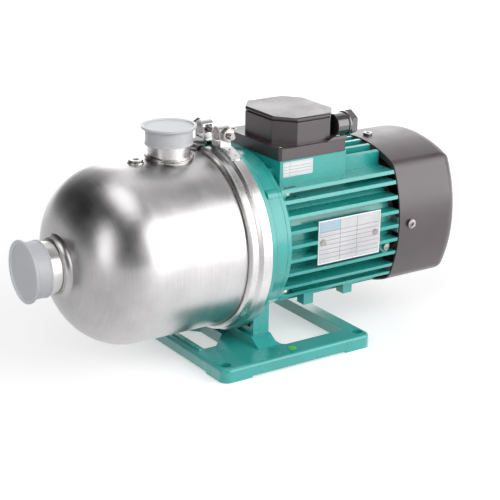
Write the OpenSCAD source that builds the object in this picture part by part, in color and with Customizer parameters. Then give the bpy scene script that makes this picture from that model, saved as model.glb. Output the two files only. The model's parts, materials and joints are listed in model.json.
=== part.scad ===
// Horizontal multistage water pump with its motor, terminal box, port caps and base plate.
// Row frame: origin at the centre of the base bolt pattern on the floor, +X from the pump
// to the fan, +Z up. All sizes are millimetres.

/* [Base plate] */
// Gap between the clamp band and the base plate
band_clearance = 2.9; // [2:0.1:6]
// Half length of the base plate along the shaft
base_half_length = 70.6; // [69:0.1:76]
// Half width of the base plate
base_half_width = 79; // [77:0.5:86]
// Thickness of the base plate
base_thickness = 11; // [10:0.5:12]
// Height of the block that carries the lantern foot
block_height = 6.5; // [5:0.5:8]
// Distance of the bolt holes from the ends of the base plate
bolt_inset_x = 7.6; // [7:0.1:12]
// Distance of the bolt holes from the sides of the base plate
bolt_inset_y = 10; // [8:0.5:14]
// Radius of the bolt holes in the base plate
bolt_hole_radius = 4.5; // [3.5:0.5:5]

/* [Pump barrel] */
// Outer radius of the pressed barrel
barrel_radius = 69.3; // [69:0.1:70]
// Sheet thickness of the barrel
barrel_wall = 1.8; // [1.2:0.1:2]
// Radius of the bend between the barrel and its domed end
knuckle_radius = 49; // [40:1:55]
// Radius of the shallow dome
crown_radius = 140; // [120:5:180]
// Length of the weld flare around the suction socket
flare_length = 6; // [4:0.5:7]

/* [Ports] */
// Outer radius of the suction socket
suction_socket_radius = 20; // [19:0.5:21]
// Wall radius of the suction thread
suction_thread_radius = 15.15; // [14:0.05:16]
// Outer radius of the discharge socket
discharge_socket_radius = 16.6; // [15.5:0.1:17]
// Wall radius of the discharge thread
discharge_thread_radius = 12.06; // [11:0.02:13]
// Length of the thread in both sockets
thread_length = 16; // [12:1:18]
// Wall of the dust caps
cap_wall = 1.2; // [0.8:0.1:1.6]

/* [Stages] */
// Outer radius of an impeller
impeller_radius = 47; // [40:0.5:50]
// Number of blades on an impeller
impeller_blades = 6; // [5:1:8]
// Number of guide blades in a stage
guide_blades = 7; // [5:1:9]
// Sheet thickness of impellers and stages
stage_sheet = 1.4; // [1:0.1:1.6]

/* [Motor] */
// Half width of the finned housing
housing_half_width = 59.8; // [57:0.2:60]
// Outer radius of the housing wall between the fins
housing_wall_radius = 50; // [49.5:0.5:52]
// Thickness of a cooling fin
fin_thickness = 2.8; // [2:0.1:3.2]
// Distance between the side fins
side_fin_pitch = 11.7; // [10.5:0.1:12]
// Distance between the upright fins
upright_fin_pitch = 11.6; // [10.5:0.1:12]
// Number of stator slots
stator_slots = 24; // [18:6:30]
// Number of blades on the cooling fan
fan_blades = 9; // [6:1:12]
// Half width of the fan cover
cover_half_width = 60.4; // [60.2:0.1:63]
// Sheet thickness of the fan cover
cover_wall = 1.6; // [1.2:0.1:1.8]
// Number of ring slots in the grille
grille_rings = 5; // [3:1:6]

/* [Terminal box] */
// Half width of the box tray
tray_half_width = 38.4; // [37:0.2:40]
// Height of the box above its tray
box_height = 18; // [16:0.5:22]
// Wall of the terminal box
box_wall = 2; // [1.6:0.1:2.4]
// Radius of the cable gland
gland_radius = 8.6; // [7:0.1:9]

/* [Hidden] */
$fn = 96;

// Shared small values
cut = 1;
seat_gap = 0.05;
body_gap = 0.3;
screw_clearance = 0.1;

// Colours
steel = [0.78, 0.78, 0.80];
bright_steel = [0.86, 0.86, 0.88];
green = [0.16, 0.48, 0.43];
black_plastic = [0.16, 0.14, 0.15];
cap_white = [0.86, 0.92, 0.94];
rubber = [0.08, 0.08, 0.09];
copper = [0.72, 0.40, 0.20];
lamination = [0.36, 0.37, 0.40];
aluminium = [0.72, 0.73, 0.75];
ceramic = [0.92, 0.90, 0.84];
carbon = [0.12, 0.12, 0.13];

// Barrel
barrel_inner = barrel_radius - barrel_wall;
dome_start = -117.4;
barrel_end = -37.2;
knuckle_centre = barrel_radius - knuckle_radius;
crown_centre = dome_start + sqrt(pow(crown_radius - knuckle_radius, 2) - pow(knuckle_centre, 2));
dome_apex = crown_centre - crown_radius;
knuckle_angle = asin(knuckle_centre / (crown_radius - knuckle_radius));
flange_thickness = 1.8;
flange_root = 2.2;

// Suction socket and cap
socket_tip = -193;
socket_root = dome_apex + 5;
flare_radius = suction_socket_radius + 7.4;
flare_base = dome_apex + 3.2;
suction_relief_radius = suction_thread_radius + 1.2;
suction_cap_rim_radius = suction_socket_radius + 3.9;
cap_rim_depth = 2.4;
cap_rim_chamfer = 0.8;
cap_dish_depth = 0.9;
cap_skirt_length = 12;
cap_face_gap = 0.4;
cap_bead_height = 0.35;
suction_cap_tip = socket_tip - cap_face_gap - cap_wall - cap_dish_depth;

// Discharge socket and cap
discharge_x = -70.8;
discharge_reach = 22.7;
discharge_tip = barrel_radius + discharge_reach;
discharge_relief_radius = discharge_thread_radius + 1;
discharge_cap_rim_radius = discharge_socket_radius + 4.6;
discharge_flare = 1.2;
discharge_flare_height = 1.6;

// Vent and drain plugs
vent_x = -99.8;
drain_x = -88;
plug_hole_radius = 3.6;
plug_stem_radius = 3.3;
plug_boss_radius = 6.4;
plug_boss_height = 0.7;
plug_head_radius = 5.6;
plug_head_height = 1.4;
plug_socket_radius = 2.6;
plug_socket_depth = 1;
plug_stem_length = 7;
drain_boss_height = 1.2;
drain_head_height = 2.4;

// Clamp band
band_start = -43.5;
band_shoulder = -34.4;
band_end = -25.2;
band_reach = 6.8;
band_radius = barrel_radius + band_reach;
band_wall = 1.4;
band_foot_radius = barrel_radius + 1.8;
band_neck_radius = band_radius - 2.4;
flange_radius = band_neck_radius - band_wall - 2 * body_gap;
shaft_height = base_thickness + band_clearance + band_radius;
band_neck_start = -41.8;
band_neck_end = -36.8;
band_groove_depth = 0.6;
band_ridge = 0.7;
clamp_angle = -1;
clamp_x = -30.4;
clamp_width = 9.6;
clamp_gap = 9;
trunnion_y = 12;
trunnion_z = band_radius + 8.5;
trunnion_radius = 4.6;
loop_radius = 6.1;
loop_wall = 1.3;
loop_foot = 3;
bolt_radius = 2.4;
bolt_slot = 6.2;
bolt_end_y = 23.5;
bolt_head_radius = 5.6;
bolt_head_height = 4;
nut_radius = 5.8;
nut_height = 4.6;
tab_length = 12;
tab_wall = 1.2;
dimple_radius = 1.4;
dimple_depth = 0.5;

// Casing seal and seal cover
rim_start = -37;
rim_end = -35.4;
rim_radius = band_neck_radius - 2.2;
dish_radius = barrel_inner - 1.4;
dish_wall = 1.8;
dish_plate_start = -31;
dish_plate_end = -29.2;
cup_radius = 15.2;
cup_bore = 13.1;
cup_start = -33.6;
cup_end = -25.4;
cup_lip_radius = 8.8;
cup_lip_wall = 1.6;
seal_cord_radius = 1.2;

// Stage pack
pack_start = -126;
stage_pitch = 20;
stage_outer = barrel_inner - 9.5;
stage_inner = stage_outer - 1.8;
eye_radius = 17;
eye_inner = 15.2;
wear_ring_outer = 19;
wear_ring_length = 3.2;
hub_radius = 9.5;
hub_start = 3;
front_shroud_start = 3.6;
back_shroud_start = 9.8;
return_plate_start = 12.4;
return_plate_radius = stage_outer - 5.5;
impeller_arc_radius = 34;
impeller_arc_offset = 31;
impeller_blade_thickness = 1.5;
impeller_blade_start = 15.6;
guide_arc_radius = 38;
guide_arc_offset = 36;
guide_blade_thickness = 1.6;
guide_blade_start = 21;
inlet_plate_thickness = 1.8;
inlet_reach = dome_start - pack_start + inlet_plate_thickness;
inlet_plate_radius = knuckle_centre + sqrt(pow(knuckle_radius - barrel_wall, 2)
    - pow(inlet_reach, 2)) - 0.15;
support_windows = 6;
support_window_width = 22;
support_window_inset = 4;

// Shaft
shaft_pump_radius = 6;
shaft_seal_radius = 7;
shaft_bearing_radius = 7.5;
shaft_collar_radius = 9.6;
shaft_rotor_radius = 9;
shaft_fan_radius = 6.5;
shaft_start = -129;
nut_start = -131.5;
nut_dome_radius = 7.8;
shaft_seal_start = pack_start + 4 * stage_pitch + hub_start;
shaft_bearing_start = -18;
shaft_collar_start = -3.5;
shaft_rotor_start = 3;
shaft_rotor_end = 90;
shaft_rear_seat_end = 112;
shaft_end = 152;

// Mechanical seal
seal_face = -33;
seal_face_gap = 0.1;
seal_seat_end = -27.1;
seal_ring_start = -38;
seal_ring_radius = 11.4;
seal_bore = 7.1;
bellows_radius = 12.4;
bellows_wall = 1.6;

// Bearings
bearing_outer_radius = 17.5;
bearing_width = 11;
bearing_pitch = 12.5;
ball_radius = 2.9;
track_radius = 3.05;
ball_count = 8;
land_outer = 14.9;
land_inner = 10.1;
cage_inner = 11.7;
cage_outer = 13.3;
cage_width = 6.4;
front_bearing_x = -14.8;
rear_bearing_x = 96;
bearing_seat_gap = 0.02;
washer_thickness = 1;
washer_inner = 14.6;

// Lantern
lantern_start = -35.2;
lantern_end = -4.2;
lantern_clamp_radius = rim_radius;
lantern_step = -24.9;
lantern_rim_radius = band_radius - 1.7;
lantern_rim_end = -21.5;
lantern_neck_start = -15.5;
lantern_cavity_radius = barrel_inner - 1.1;
lantern_cavity_end = -23.5;
lantern_inner_radius = 58;
lantern_web_start = -10;
hub_wall = 5.5;
hub_nose = -20;
hub_lip_radius = 11.5;
screw_circle = 61;
screw_rise = 41;
screw_turns = [90 - screw_rise, 90 + screw_rise, 270 - screw_rise, 270 + screw_rise];
lantern_boss_radius = 5.5;
lantern_boss_start = -14;
foot_start = -21.5;
foot_end = -6.9;
foot_half_width = 45;
foot_wall = 4;
foot_sole = 5.5;
foot_drop = 34;
foot_top = shaft_height - foot_drop;
foot_rib_y = 16;
foot_bolt_y = 33;
foot_bolt_radius = 3;
foot_bolt_head_radius = 5.2;
foot_bolt_head_height = 4.5;

// Motor housing
housing_start = -4;
housing_end = 106;
fins_start = -1.5;
fins_end = 109;
stator_radius = 46;
stator_start = 18;
stator_end = 78;
winding_start = 6.5;
winding_end = 89.5;
rotor_radius = 26.6;
air_gap = 0.5;
slot_width = 3.6;
slot_inner = 29.5;
slot_outer = 38;
slot_slack = 0.2;
winding_inner = 29.6;
winding_outer = 42;
end_ring_inner = 19;
end_ring_outer = 25.8;
end_ring_length = 5;
squircle_bulge = 110;
squircle_corner = 14;
pedestal_start = 5.8;
pedestal_end = 69.5;
pedestal_half_width = 38;
pedestal_top = 63.4;
rail_height = 43;
front_rim_radius = 65;
front_rim_end = -0.5;
front_cone_x = 5.5;
front_cone_radius = 57.5;
front_cone_end = 11;
housing_boss_radius = 5;
housing_boss_end = 3.2;
flange_screw_head_radius = 3.9;
flange_screw_head_height = 3.6;
flange_screw_radius = 2.4;
flange_screw_depth = 13;
screw_pocket_length = 12;
lug_y = 36;
lug_width = 9;
lug_bottom = -58.8;
lug_top = -42;
lug_one_start = 30;
lug_one_end = 39.5;
lug_two_start = 69.5;
lug_two_end = 78.5;
lug_step = 1.6;
wire_hole_radius = 9;
wire_hole_x = 39;

// Rear end shield
shield_start = 106.2;
shield_end = 112;
shield_spigot_start = 100;
shield_spigot_wall = 4;
shield_radius = 49.2;
shield_hub_start = rear_bearing_x - 1.5;
shield_hub_radius = 22.5;
shield_lug_start = fins_end + 0.3;
shield_lug_end = 127;
shield_lug_width = 13;
shield_lug_inner = 40;
shield_lug_gap = 0.3;
shield_shaft_hole = 8.4;

// Cooling fan
fan_hub_radius = 11;
fan_disc_start = 130;
fan_disc_thickness = 2;
fan_disc_radius = 40;
fan_blade_end = 150;
fan_blade_radius = 53;
fan_blade_thickness = 1.8;
fan_hub_start = 116;
fan_hub_end = 151.2;

// Fan cover
cover_start = 109.6;
cover_end = 172.4;
cover_edge_radius = 12;
cover_corner_radius = cover_half_width + 8.3;
cover_skin_gap = 0.05;
grille_inner = 9;
grille_pitch = 8.4;
grille_slot = 4.6;
grille_spokes = 8;
grille_spoke_width = 3;
cover_screw_x = 121;
cover_screw_radius = 2;
cover_screw_head_radius = 3.8;
cover_screw_head_height = 2;
cover_screw_length = 9;

// Nameplate and earth screw
plate_start = 28.4;
plate_end = 89.7;
plate_bottom = -19;
plate_top = 17;
plate_thickness = 0.8;
plate_back = 5;
rivet_radius = 1.3;
rivet_head = 0.7;
rivet_inset_x = 4.8;
plate_pad_inset = 3.4;
rivet_depth = 3;
earth_x = 99.5;
earth_z = -17.5;
earth_radius = 3;
earth_boss_radius = 5;
earth_boss_depth = 7;
earth_head_height = 2.4;

// Terminal box
tray_start = 5.2;
tray_end = 69.5;
tray_height = 9.4;
tray_corner = 11;
box_start = 10.9;
box_end = 68.5;
box_half_width = 34.5;
box_corner_x = 13.2;
box_corner_y = 16;
lid_thickness = 3.6;
lid_seam = 1.3;
lid_seam_inset = 1.5;
lid_edge = 1.2;
lid_gap = 0.2;
box_screw_radius = 2;
box_screw_head_radius = 3.4;
box_screw_head_height = 2.4;
box_screw_inset = 4.6;
box_screw_depth = 12;
lid_lip_depth = 2;
block_x = 24;
block_y = -18;
block_length = 34;
block_width = 15;
block_top = 9;
block_posts = 3;
block_post_radius = 2;
block_post_height = 4;
capacitor_radius = 9.5;
capacitor_start = 20;
capacitor_end = 56;
capacitor_y = 14;
gland_y = -20;
gland_height = 80.3;
gland_flange_end = 71.5;
gland_end = 81.7;
gland_nut_end = 87;
gland_nut_radius = 10.4;
gland_bore = 4.6;
gland_flange_radius = 10;

// Base plate
plate_corner_radius = 7;
plate_edge_radius = 2.6;
block_start = -24.7;
block_relief_end = -20;
block_end = -6.5;
block_half_width = 47;
block_base_half_width = 58;
window_start = -3.5;
window_rim = 14.1;
window_side = 19;
window_end = base_half_length - window_rim;
window_half_width = base_half_width - window_side;
window_corner_radius = 5;
barrel_window_rim = 10.6;
barrel_window_start = barrel_window_rim - base_half_length;
barrel_window_corner = -49;
barrel_window_end = -32;
barrel_window_half_width = 34;
barrel_window_waist = 16;
pad_length = 26;
pad_relief = 1.4;
ridge_inset = 6.1;
ridge_x = ridge_inset - base_half_length;
ridge_half_length = 36;
ridge_width = 3;
ridge_height = 1.4;
base_top = base_thickness;
block_top_z = base_thickness + block_height;

// Helpers
module along_shaft() {
    translate([0, 0, shaft_height]) rotate([0, 90, 0]) children();
}

module around_shaft(angle) {
    translate([0, 0, shaft_height]) rotate([angle, 0, 0]) children();
}

module turned(points) {
    along_shaft() rotate_extrude() polygon(points);
}

module disc(radius, x_from, x_to) {
    along_shaft() translate([0, 0, x_from]) cylinder(r = radius, h = x_to - x_from);
}

module ring(outer, inner, x_from, x_to) {
    along_shaft() translate([0, 0, x_from]) linear_extrude(x_to - x_from) difference() {
        circle(outer);
        circle(inner);
    }
}

module block(x_from, x_to, y_from, y_to, z_from, z_to) {
    translate([x_from, y_from, z_from]) cube([x_to - x_from, y_to - y_from, z_to - z_from]);
}

module upright(x, y, radius, z_from, z_to) {
    translate([x, y, z_from]) cylinder(r = radius, h = z_to - z_from);
}

// Rounded square that the housing and the fan cover share
module squircle(half_width, bulge, corner_radius) {
    bulge_centre = bulge - half_width;
    reach = bulge - corner_radius;
    corner = (-bulge_centre + sqrt(2 * reach * reach - bulge_centre * bulge_centre)) / 2;
    tangent = corner + corner_radius * (corner + bulge_centre) / reach;
    side = corner + corner_radius * corner / reach;
    intersection() {
        for_bulges(bulge_centre, bulge);
        union() {
            polygon([[tangent, side], [side, tangent], [-side, tangent], [-tangent, side],
                [-tangent, -side], [-side, -tangent], [side, -tangent], [tangent, -side]]);
            bulge_strip(side, half_width);
            for (x = [-corner, corner], y = [-corner, corner])
                translate([x, y]) circle(corner_radius);
        }
    }
}

module for_bulges(centre, bulge) {
    intersection() {
        translate([-centre, 0]) circle(bulge);
        translate([centre, 0]) circle(bulge);
        translate([0, -centre]) circle(bulge);
        translate([0, centre]) circle(bulge);
    }
}

module bulge_strip(side, half_width) {
    square([2 * half_width, 2 * side], center = true);
    square([2 * side, 2 * half_width], center = true);
}

module squircle_bar(half_width, bulge, corner_radius, x_from, x_to) {
    along_shaft() translate([0, 0, x_from]) linear_extrude(x_to - x_from)
        squircle(half_width, bulge, corner_radius);
}

// Pump barrel
module dome_shape(inset) {
    reach = crown_radius + cut;
    intersection() {
        union() {
            translate([0, dome_start]) square([barrel_radius - inset, barrel_end - dome_start]);
            translate([knuckle_centre, dome_start]) circle(knuckle_radius - inset);
            translate([0, dome_start - knuckle_radius / 2]) square([knuckle_centre, knuckle_radius]);
            intersection() {
                translate([0, crown_centre]) circle(crown_radius - inset);
                polygon([[0, crown_centre], [reach * sin(knuckle_angle), crown_centre
                    - reach * cos(knuckle_angle)], [0, crown_centre - reach]]);
            }
        }
        translate([0, dome_apex - cut]) square([barrel_radius, barrel_end - dome_apex + cut]);
    }
}

module barrel_flange() {
    polygon([[barrel_inner, barrel_end - flange_root - flange_thickness],
        [barrel_radius, barrel_end - flange_root - flange_thickness],
        [flange_radius, barrel_end - flange_thickness], [flange_radius, barrel_end],
        [barrel_inner, barrel_end]]);
}

module weld_flare() {
    intersection() {
        difference() {
            translate([0, flare_base - flare_length]) square([flare_radius, flare_length + cut]);
            translate([flare_radius, flare_base - flare_length]) circle(flare_length);
        }
        translate([0, dome_apex - flare_length]) square([flare_radius, flare_length + flare_base
            - dome_apex]);
    }
}

module plug_boss(x, side, height) {
    translate([x, 0, shaft_height]) rotate([side, 0, 0])
        cylinder(r = plug_boss_radius, h = barrel_radius + height);
}

module pump_barrel() {
    color(steel) difference() {
        union() {
            along_shaft() rotate_extrude() union() {
                dome_shape(0);
                barrel_flange();
                weld_flare();
            }
            plug_boss(vent_x, 0, plug_boss_height);
            plug_boss(drain_x, 180, drain_boss_height);
        }
        along_shaft() rotate_extrude() union() {
            dome_shape(barrel_wall);
            translate([0, barrel_end - cut]) square([barrel_inner, 2 * cut]);
        }
        disc(suction_socket_radius + seat_gap, dome_apex - 2 * flare_length, socket_root + cut);
        upright(discharge_x, 0, discharge_thread_radius, shaft_height, shaft_height + discharge_tip);
        upright(vent_x, 0, plug_hole_radius, shaft_height, shaft_height + discharge_tip);
        upright(drain_x, 0, plug_hole_radius, 0, shaft_height);
    }
}

module suction_socket() {
    color(bright_steel) difference() {
        disc(suction_socket_radius, socket_tip, socket_root);
        disc(suction_thread_radius, socket_tip - cut, socket_tip + thread_length);
        disc(suction_relief_radius, socket_tip + thread_length, socket_root + cut);
    }
}

module suction_cap() {
    inner = suction_socket_radius + body_gap;
    outer = inner + cap_wall;
    face = suction_cap_tip + cap_dish_depth;
    skirt_end = suction_cap_tip + cap_rim_depth + cap_skirt_length;
    color(cap_white) turned([[0, face], [suction_cap_rim_radius - 2 * cap_wall, face],
        [suction_cap_rim_radius - 2 * cap_wall, suction_cap_tip],
        [suction_cap_rim_radius, suction_cap_tip],
        [suction_cap_rim_radius, suction_cap_tip + cap_rim_depth - cap_rim_chamfer],
        [suction_cap_rim_radius - cap_rim_chamfer, suction_cap_tip + cap_rim_depth],
        [outer, suction_cap_tip + cap_rim_depth], [outer, skirt_end - cap_wall],
        [outer + cap_bead_height, skirt_end - cap_wall], [outer + cap_bead_height, skirt_end],
        [inner, skirt_end], [inner, face + cap_wall], [0, face + cap_wall]]);
}

module discharge_socket() {
    top = shaft_height + discharge_tip;
    root = shaft_height + barrel_radius;
    color(bright_steel) difference() {
        union() {
            upright(discharge_x, 0, discharge_socket_radius, shaft_height, top);
            upright(discharge_x, 0, discharge_socket_radius + discharge_flare, shaft_height,
                root + discharge_flare_height);
        }
        upright(discharge_x, 0, discharge_thread_radius, top - thread_length, top + cut);
        upright(discharge_x, 0, discharge_relief_radius, 0, top - thread_length);
        disc(barrel_radius + seat_gap, discharge_x - stage_outer, discharge_x + stage_outer);
    }
}

module discharge_cap() {
    inner = discharge_socket_radius + body_gap;
    outer = inner + cap_wall;
    tip = discharge_tip + cap_face_gap + cap_wall + cap_dish_depth;
    face = tip - cap_dish_depth;
    skirt_end = tip - cap_rim_depth - cap_skirt_length;
    color(cap_white) translate([discharge_x, 0, shaft_height]) rotate_extrude() polygon([[0, face],
        [discharge_cap_rim_radius - 2 * cap_wall, face], [discharge_cap_rim_radius - 2 * cap_wall, tip],
        [discharge_cap_rim_radius, tip], [discharge_cap_rim_radius, tip - cap_rim_depth
        + cap_rim_chamfer], [discharge_cap_rim_radius - cap_rim_chamfer, tip - cap_rim_depth],
        [outer, tip - cap_rim_depth], [outer, skirt_end + cap_wall],
        [outer + cap_bead_height, skirt_end + cap_wall], [outer + cap_bead_height, skirt_end],
        [inner, skirt_end], [inner, face - cap_wall], [0, face - cap_wall]]);
}

module plug(head_height) {
    color(bright_steel) difference() {
        union() {
            translate([0, 0, body_gap]) cylinder(r = plug_head_radius, h = head_height);
            translate([0, 0, -plug_stem_length]) cylinder(r = plug_stem_radius,
                h = plug_stem_length + cut);
        }
        translate([0, 0, head_height + body_gap - plug_socket_depth])
            cylinder(r = plug_socket_radius, h = plug_socket_depth + cut, $fn = 6);
    }
}

module vent_plug() {
    translate([vent_x, 0, shaft_height + barrel_radius + plug_boss_height]) plug(plug_head_height);
}

module drain_plug() {
    translate([drain_x, 0, shaft_height - barrel_radius - drain_boss_height]) rotate([180, 0, 0])
        plug(drain_head_height);
}

// Clamp band
module band_profile() {
    groove = band_neck_radius - band_groove_depth;
    polygon([[band_foot_radius, band_start], [band_neck_radius - band_ridge, band_neck_start
        - band_ridge], [band_neck_radius, band_neck_start], [band_neck_radius, band_neck_end],
        [groove, band_neck_end + band_ridge], [band_radius - band_ridge, band_shoulder],
        [band_radius, band_shoulder + band_ridge], [band_radius, band_end - band_ridge],
        [band_radius - band_ridge, band_end], [band_radius - band_wall - band_ridge, band_end],
        [band_radius - band_wall, band_end - band_ridge],
        [band_radius - band_wall, band_shoulder + band_ridge + band_wall],
        [groove - band_wall, band_neck_end + 2 * band_ridge],
        [band_neck_radius - band_wall, band_neck_end], [band_neck_radius - band_wall,
        band_neck_start + band_wall], [band_foot_radius - band_wall, band_start + band_wall],
        [band_foot_radius - band_wall, band_start]]);
}

module strap_loop(side) {
    near = trunnion_y - loop_radius;
    far = trunnion_y + loop_radius;
    rotate([90, 0, 90]) linear_extrude(clamp_width, center = true) mirror([side, 0]) difference() {
        union() {
            translate([trunnion_y, trunnion_z]) circle(loop_radius);
            polygon([[near, trunnion_z], [far, trunnion_z], [far, band_radius - loop_foot],
                [near, band_radius - cut]]);
        }
        translate([trunnion_y, trunnion_z]) circle(loop_radius - loop_wall);
        polygon([[near + loop_wall, trunnion_z], [far - loop_wall, trunnion_z],
            [far - loop_wall, band_radius + tab_wall], [near + loop_wall, band_radius + tab_wall]]);
    }
}

module strap_tab(side) {
    reach = loop_radius + tab_length;
    intersection() {
        translate([-clamp_x, 0, -shaft_height]) ring(band_radius + tab_wall, band_radius - cut,
            clamp_x - clamp_width, clamp_x + clamp_width);
        translate([0, side * trunnion_y, 0]) linear_extrude(band_radius + loop_radius) union() {
            translate([0, side * reach / 2]) square([clamp_width, reach], center = true);
            translate([0, side * reach]) circle(clamp_width / 2);
        }
    }
}

module clamp_band() {
    color(bright_steel) around_shaft(clamp_angle) difference() {
        union() {
            translate([0, 0, -shaft_height]) turned_band();
            translate([clamp_x, 0, 0]) for (side = [0, 1]) strap_loop(side);
            translate([clamp_x, 0, 0]) for (side = [-1, 1]) strap_tab(side);
        }
        translate([clamp_x - 2 * clamp_width, -clamp_gap / 2, band_foot_radius - 2 * band_wall])
            cube([4 * clamp_width, clamp_gap, 4 * clamp_width]);
        translate([clamp_x - bolt_slot / 2, -bolt_end_y, trunnion_z - bolt_slot / 2])
            cube([bolt_slot, 2 * bolt_end_y, bolt_slot]);
        for (side = [-1, 1], step = [0.35, 1])
            rotate([-side * asin((trunnion_y + loop_radius + step * tab_length) / band_radius), 0, 0])
                translate([clamp_x, 0, band_radius + tab_wall - dimple_depth])
                    cylinder(r = dimple_radius, h = cut);
    }
}

module turned_band() {
    along_shaft() rotate_extrude() band_profile();
}

module clamp_trunnions() {
    radius = loop_radius - loop_wall - seat_gap;
    color(steel) around_shaft(clamp_angle) for (side = [-1, 1]) difference() {
        translate([clamp_x - clamp_width / 2, side * trunnion_y, trunnion_z]) rotate([0, 90, 0])
            cylinder(r = radius, h = clamp_width);
        translate([clamp_x, 0, trunnion_z]) rotate([90, 0, 0])
            cylinder(r = bolt_radius + seat_gap, h = 2 * bolt_end_y, center = true);
    }
}

module clamp_bolt() {
    head_y = trunnion_y + loop_radius + seat_gap;
    color(bright_steel) around_shaft(clamp_angle) translate([clamp_x, 0, trunnion_z])
        rotate([-90, 0, 0]) union() {
            translate([0, 0, -bolt_end_y - nut_height]) cylinder(r = bolt_radius,
                h = bolt_end_y + nut_height + head_y + cut);
            translate([0, 0, head_y]) cylinder(r = bolt_head_radius, h = bolt_head_height, $fn = 6);
            translate([0, 0, head_y + bolt_head_height - cut]) cylinder(r = bolt_head_radius - 1,
                h = cut + band_ridge);
        }
}

module clamp_nut() {
    nut_y = trunnion_y + loop_radius + seat_gap;
    color(bright_steel) around_shaft(clamp_angle) translate([clamp_x, -nut_y, trunnion_z])
        rotate([90, 0, 0]) difference() {
            cylinder(r = nut_radius, h = nut_height, $fn = 6);
            translate([0, 0, -cut]) cylinder(r = bolt_radius + seat_gap, h = nut_height + 2 * cut);
        }
}

// Seals and seal cover
module casing_seal() {
    centre = barrel_inner - seal_cord_radius - seat_gap;
    color(rubber) along_shaft() rotate_extrude() translate([centre, barrel_end - seal_cord_radius
        - seat_gap]) circle(seal_cord_radius);
}

module seal_cover() {
    color(steel) turned([[cup_lip_radius, cup_end - cup_lip_wall], [cup_bore, cup_end - cup_lip_wall],
        [cup_bore, cup_start], [cup_radius, cup_start], [cup_radius, dish_plate_start],
        [dish_radius - dish_wall, dish_plate_start], [dish_radius - dish_wall, rim_start],
        [rim_radius, rim_start], [rim_radius, rim_end], [dish_radius, rim_end],
        [dish_radius, dish_plate_end], [cup_radius, dish_plate_end], [cup_radius, cup_end],
        [cup_lip_radius, cup_end]]);
}

// Stage pack
module blade(arc_radius, arc_offset, thickness, inner, outer) {
    intersection() {
        translate([arc_offset, 0]) difference() {
            circle(arc_radius);
            circle(arc_radius - thickness);
        }
        difference() {
            circle(outer);
            circle(inner);
        }
        translate([0, outer / 2]) square([3 * outer, outer], center = true);
    }
}

module inlet_plate() {
    color(steel) ring(inlet_plate_radius, wear_ring_outer, pack_start - inlet_plate_thickness,
        pack_start);
}

module stage(index) {
    start = pack_start + index * stage_pitch;
    plate_start = start + return_plate_start;
    end = start + stage_pitch;
    color(steel) union() {
        ring(stage_outer, stage_inner, start, end);
        ring(stage_outer, wear_ring_outer, start, start + stage_sheet);
        ring(return_plate_radius, hub_radius + body_gap, plate_start, plate_start + stage_sheet);
        along_shaft() translate([0, 0, plate_start]) linear_extrude(end - plate_start)
            for (turn = [0 : 360 / guide_blades : 359])
                rotate(turn) blade(guide_arc_radius, guide_arc_offset, guide_blade_thickness,
                    guide_blade_start, stage_inner + seat_gap);
    }
}

module stage_1() {
    stage(0);
}

module stage_2() {
    stage(1);
}

module stage_3() {
    stage(2);
}

module stage_4() {
    stage(3);
}

module pack_support() {
    start = pack_start + 4 * stage_pitch;
    color(steel) difference() {
        ring(stage_outer, stage_inner, start, dish_plate_start);
        for (turn = [0 : 360 / support_windows : 359])
            around_shaft(turn) block(start + support_window_inset,
                dish_plate_start - support_window_inset, -support_window_width / 2,
                support_window_width / 2, 0, barrel_radius);
    }
}

module wear_rings() {
    color(ceramic) for (index = [0 : 3])
        ring(wear_ring_outer - seat_gap, eye_radius + body_gap, pack_start + index * stage_pitch,
            pack_start + index * stage_pitch + wear_ring_length);
}

module impeller(index) {
    start = pack_start + index * stage_pitch;
    front = start + front_shroud_start;
    back = start + back_shroud_start;
    color(bright_steel) union() {
        ring(hub_radius, shaft_pump_radius + seat_gap, start + hub_start,
            start + hub_start + stage_pitch);
        ring(impeller_radius, eye_inner, front, front + stage_sheet);
        ring(eye_radius, eye_inner, start + body_gap, front + stage_sheet);
        ring(impeller_radius, hub_radius - cut, back, back + stage_sheet);
        along_shaft() translate([0, 0, front]) linear_extrude(back - front + stage_sheet / 2)
            for (turn = [0 : 360 / impeller_blades : 359])
                rotate(turn) mirror([0, 1]) blade(impeller_arc_radius, impeller_arc_offset,
                    impeller_blade_thickness, impeller_blade_start, impeller_radius - cut / 2);
    }
}

module impeller_1() {
    impeller(0);
}

module impeller_2() {
    impeller(1);
}

module impeller_3() {
    impeller(2);
}

module impeller_4() {
    impeller(3);
}

module impeller_nut() {
    color(bright_steel) difference() {
        union() {
            along_shaft() translate([0, 0, nut_start]) cylinder(r = hub_radius,
                h = pack_start + hub_start - nut_start, $fn = 6);
            intersection() {
                translate([nut_start, 0, shaft_height]) sphere(nut_dome_radius);
                disc(nut_dome_radius, nut_start - nut_dome_radius, nut_start + cut);
            }
        }
        disc(shaft_pump_radius + seat_gap, shaft_start - cut, pack_start + 2 * hub_start);
    }
}

// Shaft and mechanical seal
module shaft() {
    color(steel) turned([[0, shaft_start], [shaft_pump_radius, shaft_start],
        [shaft_pump_radius, shaft_seal_start], [shaft_seal_radius, shaft_seal_start],
        [shaft_seal_radius, shaft_bearing_start], [shaft_bearing_radius, shaft_bearing_start],
        [shaft_bearing_radius, shaft_collar_start], [shaft_collar_radius, shaft_collar_start],
        [shaft_collar_radius, shaft_rotor_start], [shaft_rotor_radius, shaft_rotor_start],
        [shaft_rotor_radius, shaft_rotor_end], [shaft_bearing_radius, shaft_rotor_end],
        [shaft_bearing_radius, shaft_rear_seat_end], [shaft_fan_radius, shaft_rear_seat_end],
        [shaft_fan_radius, shaft_end], [0, shaft_end]]);
}

module seal_seat() {
    color(ceramic) ring(cup_bore - seat_gap, cup_lip_radius - body_gap, seal_face, seal_seat_end);
}

module seal_ring() {
    color(carbon) ring(seal_ring_radius, seal_bore, seal_ring_start, seal_face - seal_face_gap);
}

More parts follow.
